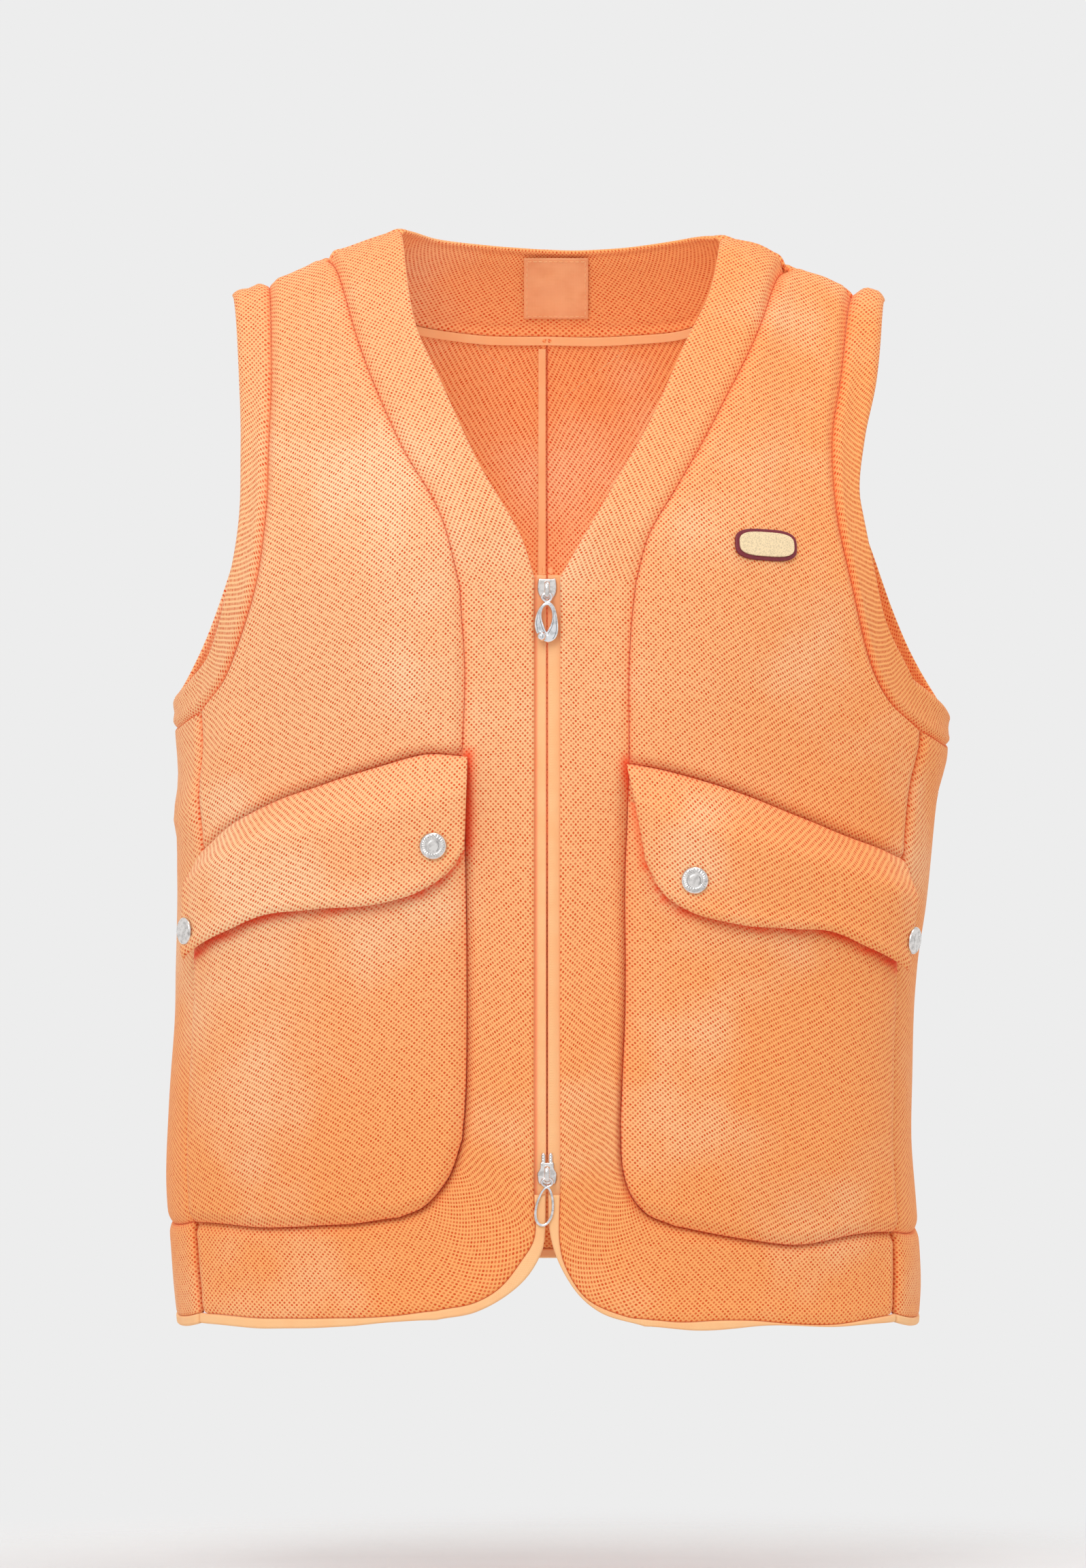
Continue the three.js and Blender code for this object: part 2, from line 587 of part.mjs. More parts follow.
function armholeBand(side) {
  const { armhole, underarm, armholeEdge, underarmEdge } = curves[side];
  const seam = join(armhole, underarm);
  const edge = join(along(armholeEdge, COUNT.armhole), along(underarmEdge, COUNT.underarm));
  const grid = strip(seam, edge, [0, 0.5, 1]).slice(0, -1);
  return sheetSolid(skinsOf(grid, () => forms[side], clothHeights, SEAM_GAP / 2, true), true);
}

function backPanel(side) {
  const { underarm, sideSeam, yokeSeam, backHemSeam, bandTop, armholeSeam } = curves[side];
  const centreTop = yokeSeam[yokeSeam.length - 1];
  const centreBottom = backHemSeam[backHemSeam.length - 1];
  const shoulderInner = forms[side].behindRidge(0);
  const ridge = [bandTop[0], armholeSeam[0]].map(([angle]) => [180 - angle, shoulderInner[1]]);
  const outer = join([...underarm].reverse(), sideSeam);
  const inner = along([centreTop, centreBottom], COUNT.underarm + SIDE_STEPS);
  const top = join(along([...yokeSeam].reverse(), COUNT.yoke), along(ridge, COUNT.shoulder));
  const bottom = along([...backHemSeam].reverse(), COUNT.yoke + COUNT.shoulder);
  const grid = patch(inner, outer, top, bottom);
  return sheetSolid(skinsOf(grid, () => forms[side], clothHeights));
}

// ---------------------------------------------------------------- pockets and flaps
const POCKET_INNER_ANGLE = 10;

// Height of the pocket's outer face over the form.
function pocketHeight(form, [angle, t]) {
  const share = (angle - POCKET_INNER_ANGLE) / (SIDE_SEAM_ANGLE - POCKET_INNER_ANGLE);
  const u = Math.min(1, Math.max(0, share));
  const z = form.point([angle, t]).z / GRADE_Z;
  const v = Math.min(1, Math.max(0, (-320 - z) / 218));
  const across = 1 - Math.abs(2 * u - 1) ** 4;
  return LIFT + FABRIC + POCKET_DEPTH * across * (1 - v ** 4);
}

const lowered = (form, place, drop) => {
  const z = form.point(place).z - drop;
  return form.atAngle(place[0], z / GRADE_Z);
};

function pocket(side) {
  const form = forms[side];
  const { bandOuter, sideSeam, flapTop } = curves[side];
  const mouth = along(flapTop.map((place) => lowered(form, place, MOUTH_DROP)), 12);
  const rows = 9;
  const pocketSeam = bandOuter.slice(COUNT.neck, PANEL_ROWS + 1);
  const start = mouth[0];
  const below = pocketSeam.filter(([, t]) => t > start[1] + 0.3);
  const inner = along([[below[0][0], start[1]], ...below], rows);
  const sideEnd = sideSeam[sideSeam.length - 1];
  const outer = along([[SIDE_SEAM_ANGLE, mouth[12][1]], sideEnd], rows);
  const bottom = along(bandOuter.slice(PANEL_ROWS), 12);
  const top = mouth.map((place, i) => [mix(inner[0][0], outer[0][0], i / 12), place[1]]);
  const heights = (f, place) => [pocketHeight(f, place), pocketHeight(f, place) - FABRIC];
  return sheetSolid(skinsOf(patch(inner, outer, top, bottom), () => form, heights, 1));
}

const FLAP_SHARES = [0, 0.1, 0.2, 0.3, 0.42, 0.62, 0.82, 1];

function flap(side) {
  const form = forms[side];
  const { flapTop, flapBottom } = curves[side];
  const grid = strip(along(flapTop, 14), along(flapBottom, 14), FLAP_SHARES);
  const heights = (f, place, row, column) => {
    const share = smooth(FLAP_SHARES[column] / 0.4);
    const low = LIFT + share * (pocketHeight(f, place) + FLAP_GAP - LIFT);
    return [low + FABRIC, low];
  };
  return sheetSolid(skinsOf(grid, () => form, heights, 0));
}

// ---------------------------------------------------------------- back neck and back hem
// A strip that runs from the right side round the back to the left side.
function acrossBack(innerCurve, outerCurve, steps, shares, heights) {
  const lineOf = (side, name) => {
    const line = along(curves[side][name], steps);
    const startsAtSide = line[0][0] < line[line.length - 1][0];
    return startsAtSide ? line : [...line].reverse();
  };
  const rightPart = strip(lineOf("right", innerCurve), lineOf("right", outerCurve), shares);
  const leftPart = strip(lineOf("left", innerCurve), lineOf("left", outerCurve), shares);
  const grid = [...rightPart, ...leftPart.reverse().slice(1)];
  const formOf = (row) => (row <= steps ? forms.right : forms.left);
  return sheetSolid(skinsOf(grid, formOf, heights));
}

const BACK_COLUMNS = COUNT.yoke + COUNT.shoulder;

function neckTape() {
  const tapeCurve = (side, below) => {
    const form = forms[side];
    const { yokeSeam } = curves[side];
    const places = yokeSeam.slice(1).map(([angle, t]) => lowered(form, [angle, t], below));
    return along(places, COUNT.yoke);
  };
  const half = (side) => strip(tapeCurve(side, -1), tapeCurve(side, NECK_TAPE_WIDTH - 1), [0, 1]);
  const grid = [...half("right"), ...half("left").reverse().slice(1)];
  const formOf = (row) => (row <= COUNT.yoke ? forms.right : forms.left);
  return sheetSolid(skinsOf(grid, formOf, behindCloth(WOVEN_TAPE), 0));
}

// A patch on the back between two x and two z, with its own rows and columns.
function backPatch(box, rows, columns, thickness) {
  const places = [];
  const formAt = [];
  for (let row = 0; row <= rows; row += 1) {
    const z = mix(box.top, box.bottom, row / rows);
    const xs = Array.from({ length: columns + 1 }, (_, i) => mix(box.from, box.to, i / columns));
    places.push(xs.map((x) => forms[x < 0 ? "right" : "left"].onBack(Math.abs(x), z)));
    formAt.push(xs.map((x) => forms[x < 0 ? "right" : "left"]));
  }
  const formOf = (row, column) => formAt[row][column];
  return sheetSolid(skinsOf(places, formOf, behindCloth(thickness), 0));
}

// ---------------------------------------------------------------- badge
function lozenge(width, height) {
  const points = [];
  for (let i = 0; i < 28; i += 1) {
    const angle = (i / 28) * 2 * Math.PI;
    points.push([
      (width / 2) * signedPower(Math.cos(angle), 0.62),
      (height / 2) * signedPower(Math.sin(angle), 0.62),
    ]);
  }
  return points;
}

function badgeFrame() {
  const form = forms.left;
  const place = form.onFront(BADGE.x, BADGE.z);
  const out = form.normal(place);
  const across = new THREE.Vector3(0, 0, 1).cross(out).normalize();
  const up = out.clone().cross(across);
  const turn = new THREE.Matrix4().makeBasis(across, up, out);
  turn.multiply(new THREE.Matrix4().makeRotationZ(radians(BADGE.tilt)));
  const centre = form.lifted(place, CLEARANCE);
  return new THREE.Matrix4().makeTranslation(centre).multiply(turn);
}

// ---------------------------------------------------------------- zip
const BAND_FACE = -FRONT_DEPTH;
const TAPE_FACE = BAND_FACE + FABRIC + 2 * CLEARANCE;
const TAPE_BACK = TAPE_FACE + WOVEN_TAPE;
const COIL_FACE = TAPE_BACK + CLEARANCE;
const COIL_BACK = COIL_FACE + COIL_THICKNESS;
const PLATE_BACK = TAPE_FACE - CLEARANCE;
const PLATE_FACE = PLATE_BACK - SLIDER_PLATE;
const BINDING_FACE = BAND_FACE - BINDING_RISE;
const PULL_BACK = BINDING_FACE - PULL_CLEARANCE;
const PULL_FACE = PULL_BACK - PULL_THICKNESS;
const PULL_CENTRE = (PULL_BACK + PULL_FACE) / 2;
const BRIDGE_INSIDE = PULL_CENTRE - PULL_BAR / 2 - 0.4;
const BRIDGE_FACE = BRIDGE_INSIDE - BRIDGE_THICKNESS;
const SIGN = { right: -1, left: 1 };

function zipTape(side) {
  const width = ZIP_EDGE + TAPE_REACH - TAPE_GAP;
  const top = ZIP_TOP * GRADE_Z;
  const end = TAPE_END * GRADE_Z;
  const tape = block(width, WOVEN_TAPE, top - end);
  tape.translate(SIGN[side] * (TAPE_GAP + width / 2), (TAPE_FACE + TAPE_BACK) / 2, (top + end) / 2);
  return tape;
}

// A bar with a D section that lies on the back of a zip tape, from one height to another.
function coilBar(side, top, bottom, width) {
  const near = TAPE_GAP;
  const far = TAPE_GAP + width;
  const round = 0.6;
  const profile = [[near, COIL_FACE], [far, COIL_FACE], [far, COIL_BACK - round],
    [far - round, COIL_BACK], [near + round, COIL_BACK], [near, COIL_BACK - round]];
  const bar = extruded(profile, top - bottom);
  bar.translate(0, 0, bottom);
  if (side === "right") bar.rotateZ(Math.PI).translate(0, COIL_FACE + COIL_BACK, 0);
  return bar;
}

const COIL_TOP = ZIP_TOP * GRADE_Z - STOP_LENGTH - CLEARANCE - 1;
const COIL_END = TAPE_END * GRADE_Z + PIN_LENGTH + CLEARANCE;

function sliderBody(lugs) {
  const half = SLIDER_WIDTH / 2;
  const flange = COIL_BACK + CLEARANCE;
  const back = flange + 1.2;
  const reach = TAPE_GAP + COIL_WIDTH + CLEARANCE;
  const section = [[-half, PLATE_FACE], [half, PLATE_FACE], [half, PLATE_BACK],
    [POST_HALF_WIDTH, PLATE_BACK], [POST_HALF_WIDTH, flange], [reach, flange],
    [reach, COIL_FACE], [half, COIL_FACE], [half, back], [-half, back], [-half, COIL_FACE],
    [-reach, COIL_FACE], [-reach, flange], [-POST_HALF_WIDTH, flange],
    [-POST_HALF_WIDTH, PLATE_BACK], [-half, PLATE_BACK]];
  const rail = extruded(section, SLIDER_LENGTH);
  rail.translate(0, 0, -SLIDER_LENGTH / 2);
  const end = SLIDER_LENGTH / 2;
  const waist = half * 0.72;
  const plan = [[-half + 0.8, end], [half - 0.8, end], [half, end - 1.6], [half, 0.5],
    [waist, -end + 1.5], [waist - 0.8, -end], [-waist + 0.8, -end], [-waist, -end + 1.5],
    [-half, 0.5], [-half, end - 1.6]];
  const cutter = extruded(plan, 20);
  cutter.rotateX(Math.PI / 2).translate(0, PLATE_FACE + 15, 0);
  let solid = solidFrom(rail).intersect(solidFrom(cutter));
  if (lugs) {
    [-1, 1].forEach((sign) => {
      const lug = block(2.2, SLIDER_PLATE - 0.2, LUG_LENGTH + 0.6);
      lug.translate(sign * 2, (PLATE_BACK + PLATE_FACE) / 2, end + LUG_LENGTH / 2 - 0.3);
      solid = solid.add(solidFrom(lug));
    });
  }
  return geometryFrom(solid);
}

// The strap in front of the slider that the pull's bar turns in. Its hinge line is z = 0.
const HINGE_DROP = 2.5;
const LEG = 1.2;
function sliderBridge() {
  const foot = PLATE_FACE - CLEARANCE;
  const low = -PULL_BAR / 2 - CLEARANCE;
  const high = low - LEG + BRIDGE_LENGTH - LEG;
  const profile = [[foot, low], [foot, low - LEG], [BRIDGE_FACE + 0.6, low - LEG],
    [BRIDGE_FACE, low - LEG + 0.6], [BRIDGE_FACE, high + LEG - 0.6],
    [BRIDGE_FACE + 0.6, high + LEG], [foot, high + LEG], [foot, high], [BRIDGE_INSIDE, high],
    [BRIDGE_INSIDE, low]];
  const strap = extruded(profile, BRIDGE_WIDTH);
  // The profile is drawn in Y and Z and pulled along X.
  const turn = new THREE.Matrix4().set(0, 0, 1, -BRIDGE_WIDTH / 2, 1, 0, 0, 0, 0, 1, 0, 0, 0, 0, 0, 1);
  strap.applyMatrix4(turn);
  return strap;
}

function closedSpline(points, steps) {
  const curve = new THREE.SplineCurve(
    [...points, points[0]].map(([x, y]) => new THREE.Vector2(x, y)),
  );
  return curve.getPoints(steps).slice(0, -1).map((p) => [p.x, p.y]);
}

function roundedSlot(centreX, top, bottom, width, lowerWidth = width) {
  const points = [];
  const upper = width / 2;
  const lower = lowerWidth / 2;
  for (let i = 0; i <= 8; i += 1) {
    const a = (i / 8) * Math.PI;
    points.push([centreX + upper * Math.cos(a), top - upper + upper * Math.sin(a)]);
  }
  for (let i = 0; i <= 8; i += 1) {
    const a = Math.PI + (i / 8) * Math.PI;
    points.push([centreX + lower * Math.cos(a), bottom + lower + lower * Math.sin(a)]);
  }
  return points;
}

// A flat pull: outline and holes in X and Z about the hinge line, at the pull's depth.
function flatPull(outline, holes) {
  const plate = extruded(outline, PULL_THICKNESS, holes);
  plate.rotateX(Math.PI / 2).translate(0, PULL_BACK, 0);
  return plate;
}

const eyeHole = () => {
  const half = EYE_WIDTH / 2;
  const top = -PULL_BAR / 2;
  const bottom = -EYE_LENGTH;
  return [[-half, top], [half, top], [half, bottom + 0.6], [half - 0.6, bottom],
    [-half + 0.6, bottom], [-half, bottom + 0.6]];
};

const TOP_PULL_OUTLINE = [[-2.6, 0.7], [2.6, 0.7], [3.4, -1.6], [3.5, -4.6], [5.4, -7.6],
  [6.4, -13], [5.4, -18.4], [2, -22.5], [-2.4, -23.7], [-5.9, -21.6], [-6.2, -16], [-5.4, -9.6],
  [-3.7, -6], [-3.4, -2]];

function topPull() {
  const drawn = Math.max(...TOP_PULL_OUTLINE.map(([, z]) => -z));
  const stretch = TOP_PULL_LENGTH / drawn;
  const outline = closedSpline(TOP_PULL_OUTLINE.map(([x, z]) => [x, z * stretch]), 42);
  const loop = roundedSlot(-0.3, -EYE_LENGTH - 1.8, -17.4 * stretch, 5, 5.4);
  const bead = new THREE.SphereGeometry(2.6, 12, 8);
  bead.translate(-3.2, PULL_BACK - 2.6 + 0.05, -20.4 * stretch);
  return geometryFrom(solidFrom(flatPull(outline, [eyeHole(), loop])).add(solidFrom(bead)));
}

function bottomPull() {
  const lower = BOTTOM_PULL_WIDTH / 2;
  const end = -BOTTOM_PULL_LENGTH;
  const outline = closedSpline([[-2.6, 0.7], [2.6, 0.7], [3.5, -2], [3.9, -5], [4.6, -10],
    [5.6, -16], [lower, end + 6.5], [lower * 0.62, end + 1], [0, end], [-lower * 0.62, end + 1],
    [-lower, end + 6.5], [-5.6, -16], [-4.6, -10], [-3.9, -5], [-3.5, -2]], 46);
  const slot = roundedSlot(0, -EYE_LENGTH - 2, end + 1.6, 5.8, BOTTOM_PULL_WIDTH - 3.2);
  const lean = radians(-BOTTOM_PULL_TILT);
  const hinge = -PULL_BAR / 2;
  // The lower end swings sideways; the eye stays round the bridge.
  const swing = ([x, z]) => [
    x + Math.sin(lean) * Math.max(0, hinge - z - EYE_LENGTH),
    z,
  ];
  return flatPull(outline.map(swing), [eyeHole(), slot.map(swing)]);
}

// ---------------------------------------------------------------- snaps
function turned(profile, steps) {
  const points = profile.map(([r, h]) => new THREE.Vector2(r, h));
  const lathe = new THREE.LatheGeometry(points, steps);
  return lathe.rotateX(Math.PI / 2);
}

function snapCap() {
  return turned([[0, 0], [SNAP_RADIUS - 0.5, 0], [SNAP_RADIUS, 0.6], [SNAP_RADIUS - 0.2, 1.4],
    [SNAP_RADIUS - 1, SNAP_HEIGHT], [SNAP_RADIUS - 2.2, SNAP_HEIGHT - 0.3], [0, SNAP_HEIGHT - 0.2]],
  20);
}

function snapSocket() {
  return turned([[SOCKET_HOLE, 0], [SOCKET_RADIUS, 0], [SOCKET_RADIUS, SOCKET_HEIGHT],
    [SOCKET_HOLE, SOCKET_HEIGHT], [SOCKET_HOLE, 0]], 16);
}

function snapStud() {
  return turned([[0, 0], [STUD_RADIUS, 0], [STUD_RADIUS, STUD_HEIGHT], [KNOB_RADIUS, STUD_HEIGHT],
    [KNOB_RADIUS, STUD_HEIGHT + KNOB_HEIGHT], [0, STUD_HEIGHT + KNOB_HEIGHT]], 16);
}

function snapPost() {
  return turned([[0, 0], [SOCKET_RADIUS, 0], [SOCKET_RADIUS, 0.9], [0, 0.9]], 16);
}

// The frame of a snap: its axis is the normal of the pocket's face at that place.
function snapFrame(form, place, height) {
  const surface = ([angle, t]) => form.lifted([angle, t], pocketHeight(form, [angle, t]));
  const [angle, t] = place;
  const round = surface([angle + 1.5, t]).sub(surface([angle - 1.5, t]));
  const down = surface([angle, t + 0.12]).sub(surface([angle, t - 0.12]));
  const out = down.cross(round).multiplyScalar(form.sign).normalize();
  const across = new THREE.Vector3(0, 0, 1).cross(out).normalize();
  const up = out.clone().cross(across);
  const centre = surface(place).addScaledVector(out, height);
  return new THREE.Matrix4().makeBasis(across, up, out).setPosition(centre);
}

const CHORD_SLACK = 1; // a faceted sheet dips this much below its true curve

function addSnaps(side) {
  const form = forms[side];
  const flapBack = FLAP_GAP;
  const flapFace = FLAP_GAP + FABRIC;
  const pieces = [
    ["cap", snapCap, flapFace + CLEARANCE],
    ["socket", snapSocket, flapBack - CHORD_SLACK - SOCKET_HEIGHT],
    ["stud", snapStud, CLEARANCE],
    ["post", snapPost, -FABRIC - CHORD_SLACK - CLEARANCE - 0.9],
  ];
  ["inner", "outer"].forEach((where, i) => {
    pieces.forEach(([piece, make, height]) => {
      const geometry = make().applyMatrix4(snapFrame(form, curves[side].snaps[i], height));
      add(`${side}_${where}_snap_${piece}`, "steel", geometry);
    });
  });
}

// ---------------------------------------------------------------- assembly
["right", "left"].forEach((side) => {
  add(`${side}_chest_panel`, "mesh", chestPanel(side));
  add(`${side}_lower_panel`, "mesh", lowerPanel(side));
  add(`${side}_front_band`, "mesh", frontBand(side));
  add(`${side}_armhole_band`, "mesh", armholeBand(side));
  add(`${side}_back_panel`, "mesh", backPanel(side));
  add(`${side}_pocket`, "mesh", pocket(side));
  add(`${side}_pocket_flap`, "mesh", flap(side));
  add(`${side}_hem_binding`, "woven", frontBinding(side));
  add(`${side}_zip_tape`, "woven", zipTape(side));
  add(`${side}_zip_coil`, "woven", coilBar(side, COIL_TOP, COIL_END, COIL_WIDTH));
  const stopBottom = COIL_TOP + CLEARANCE;
  add(`${side}_top_stop`, "steel", coilBar(side, stopBottom + STOP_LENGTH, stopBottom, 2.2));
  const pinTop = COIL_END - CLEARANCE;
  add(`${side}_zip_pin`, "steel", coilBar(side, pinTop, pinTop - PIN_LENGTH + 1, 2));
  addSnaps(side);
});

add("back_neck_band", "mesh", acrossBack("neckBack", "yokeSeam", COUNT.yoke,
  [0, 0.25, 0.5, 0.75, 1], clothHeights));
add("back_hem_band", "mesh", acrossBack("backHemSeam", "backHemEdge", BACK_COLUMNS, [0, 0.5, 1],
  clothHeights));
add("back_hem_binding", "woven", acrossBack("backHemEdge", "backHemBottom", BACK_COLUMNS, [0, 1],
  bindingHeights));
add("back_neck_tape", "woven", neckTape());
add("centre_back_tape", "woven", backPatch(CENTRE_TAPE, 18, 1, WOVEN_TAPE));
add("neck_label", "label", backPatch({ from: LABEL.left, to: LABEL.right, top: LABEL.top,
  bottom: LABEL.bottom }, 4, 6, LABEL_THICKNESS));

const badgeBase = extruded(lozenge(BADGE.width, BADGE.height), BADGE.base);
const badgeFace = extruded(lozenge(BADGE.width - 2 * BADGE.rim, BADGE.height - 2 * BADGE.rim),
  BADGE.face);
badgeFace.translate(0, 0, BADGE.base + CLEARANCE);
add("chest_badge_base", "badgeRim", badgeBase.applyMatrix4(badgeFrame()));
add("chest_badge_face", "badgeFace", badgeFace.applyMatrix4(badgeFrame()));

[["top", TOP_SLIDER_Z, false, topPull], ["bottom", BOTTOM_SLIDER_Z, true, bottomPull]].forEach(
  ([where, z, lugs, pull]) => {
    const height = z * GRADE_Z;
    add(`${where}_slider_body`, "steel", sliderBody(lugs)).position.set(0, 0, height);
    add(`${where}_slider_bridge`, "steel", sliderBridge()).position.set(0, 0, height - HINGE_DROP);
    add(`${where}_pull`, "chrome", pull()).position.set(0, 0, height - HINGE_DROP);
  },
);

export default root;
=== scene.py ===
"""A sleeveless zip vest in thick orange spacer mesh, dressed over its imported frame.

The pattern is drawn in millimetres on a body form, as the frame's own cloth is: a place on
the form is an angle round the body (0 at the zip, 90 at the side, 180 at the centre back)
and a t, the square root of the drop below the shoulder line. Finished meshes are in metres.
"right" and "left" are the wearer's own: right is -X and left is +X, and the front faces -Y.
"""

import logging
import math
from dataclasses import dataclass, field
from enum import Enum
from itertools import pairwise
from typing import Iterable

import bpy
import numpy as np
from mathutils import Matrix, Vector


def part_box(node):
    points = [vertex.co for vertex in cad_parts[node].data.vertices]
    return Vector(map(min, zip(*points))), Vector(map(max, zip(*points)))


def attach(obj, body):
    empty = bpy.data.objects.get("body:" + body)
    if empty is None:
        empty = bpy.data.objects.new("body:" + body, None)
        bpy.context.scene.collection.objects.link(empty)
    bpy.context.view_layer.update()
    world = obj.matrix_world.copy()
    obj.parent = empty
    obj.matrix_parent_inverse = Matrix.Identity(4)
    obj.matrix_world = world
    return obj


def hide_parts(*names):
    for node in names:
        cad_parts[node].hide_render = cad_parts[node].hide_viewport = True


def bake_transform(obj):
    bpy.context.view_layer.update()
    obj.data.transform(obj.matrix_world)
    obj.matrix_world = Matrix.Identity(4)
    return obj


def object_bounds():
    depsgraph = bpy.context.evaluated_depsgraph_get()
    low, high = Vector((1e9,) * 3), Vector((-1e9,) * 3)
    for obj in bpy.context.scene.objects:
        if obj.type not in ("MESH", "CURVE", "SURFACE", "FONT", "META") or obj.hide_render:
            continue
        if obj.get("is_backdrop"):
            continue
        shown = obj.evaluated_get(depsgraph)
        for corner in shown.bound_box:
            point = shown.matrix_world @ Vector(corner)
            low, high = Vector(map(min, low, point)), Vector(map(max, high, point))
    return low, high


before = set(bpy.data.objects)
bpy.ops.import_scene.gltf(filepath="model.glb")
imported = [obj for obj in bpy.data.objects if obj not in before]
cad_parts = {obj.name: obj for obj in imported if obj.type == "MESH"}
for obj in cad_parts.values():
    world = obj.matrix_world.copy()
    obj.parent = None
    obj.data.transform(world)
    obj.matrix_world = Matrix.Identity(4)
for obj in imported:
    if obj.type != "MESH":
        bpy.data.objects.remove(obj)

log = logging.getLogger("vest")
Array = np.ndarray
Spots = list[tuple["Spot", float, float]]
Colour = tuple[float, float, float]

MM = 0.001
FABRIC = 3.0
LIFT = 1.2
CLEARANCE = 0.3
ROUNDNESS = 2.3
BUST_RISE = 9.0
BUST_CENTRE = (95.0, -205.0)
BUST_SIZE = (64.0, 78.0)
SIDE_SEAM_ANGLE = 68.0
POCKET_DEPTH = 10.5
POCKET_INNER_ANGLE = 10.0
POCKET_TOP = -320.0
POCKET_HEIGHT = 218.0
MOUTH_DROP = 20.0
BINDING_RISE = 0.4
FLAP_GAP = 5.0
ZIP_EDGE = 7.0
TAPE_GAP = 0.6
BINDING_TOP = -521.0
TOP_SLIDER_Z = -193.5
BOTTOM_SLIDER_Z = -509.6
HINGE_DROP = 2.5
HINGE_Y = -109.5
LEAST_WIDTH = 10.2
AREA_SLACK = 1.02
SEAM_SHADE_WIDTH = 1.3
SEAM_SHADE = 0.2


def node_box(name: str) -> tuple[Array, Array]:
    """The lowest and highest corner of a frame node, in millimetres."""
    low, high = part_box(name)
    return np.array(low) / MM, np.array(high) / MM


class Side(Enum):
    """The wearer's right or left."""

    RIGHT = "right"
    LEFT = "left"

    @property
    def sign(self) -> int:
        """The sign of X on this side."""
        return -1 if self is Side.RIGHT else 1


class Spot(Enum):
    """How a pair of numbers names a place on the body form."""

    FRONT = "x and z on the front"
    BACK = "x and z on the back"
    ROUND = "angle and z"
    RIDGE = "x on the shoulder ridge, in front"
    BEHIND = "x on the shoulder ridge, behind"


def front(*points: tuple[float, float]) -> Spots:
    """Spots on the front, from distances from the centre line and heights."""
    return [(Spot.FRONT, x, z) for x, z in points]


def back(*points: tuple[float, float]) -> Spots:
    """Spots on the back, from distances from the centre line and heights."""
    return [(Spot.BACK, x, z) for x, z in points]


def round_body(*points: tuple[float, float]) -> Spots:
    """Spots named by an angle round the body and a height."""
    return [(Spot.ROUND, angle, z) for angle, z in points]


def ridge(x: float) -> Spots:
    """The spot on the shoulder ridge where the front starts."""
    return [(Spot.RIDGE, x, 0.0)]


def behind(x: float) -> Spots:
    """The spot on the shoulder ridge where the back starts."""
    return [(Spot.BEHIND, x, 0.0)]


# ------------------------------------------------------------------------- the pattern
HALF_WIDTH = {
    Side.RIGHT: ((0, 204), (211, 204), (256, 201.5), (375, 203.5), (465, 207.5), (515, 205), (550, 202)),
    Side.LEFT: ((0, 217), (226, 219), (256, 213.5), (315, 207.5), (375, 200.5), (445, 199.5),
                (525, 204), (550, 203)),
}
FRONT_PROFILE = ((0, 0), (2, 0.14), (4, 0.29), (6, 0.46), (8, 0.63), (10, 0.79), (12, 0.94),
                 (13.3, 1), (16, 1), (26, 1))
BACK_PROFILE = ((0, 0), (2, 0.15), (4, 0.33), (6, 0.52), (8, 0.7), (10, 0.84), (12, 0.94),
                (14, 0.99), (17, 0.98), (20, 0.98), (26, 1.02))
SHOULDER_LINE = ((0, 14), (50, 8), (85, 0), (110, -9), (135, -20), (155, -28), (180, -36),
                 (200, -46), (225, -60))

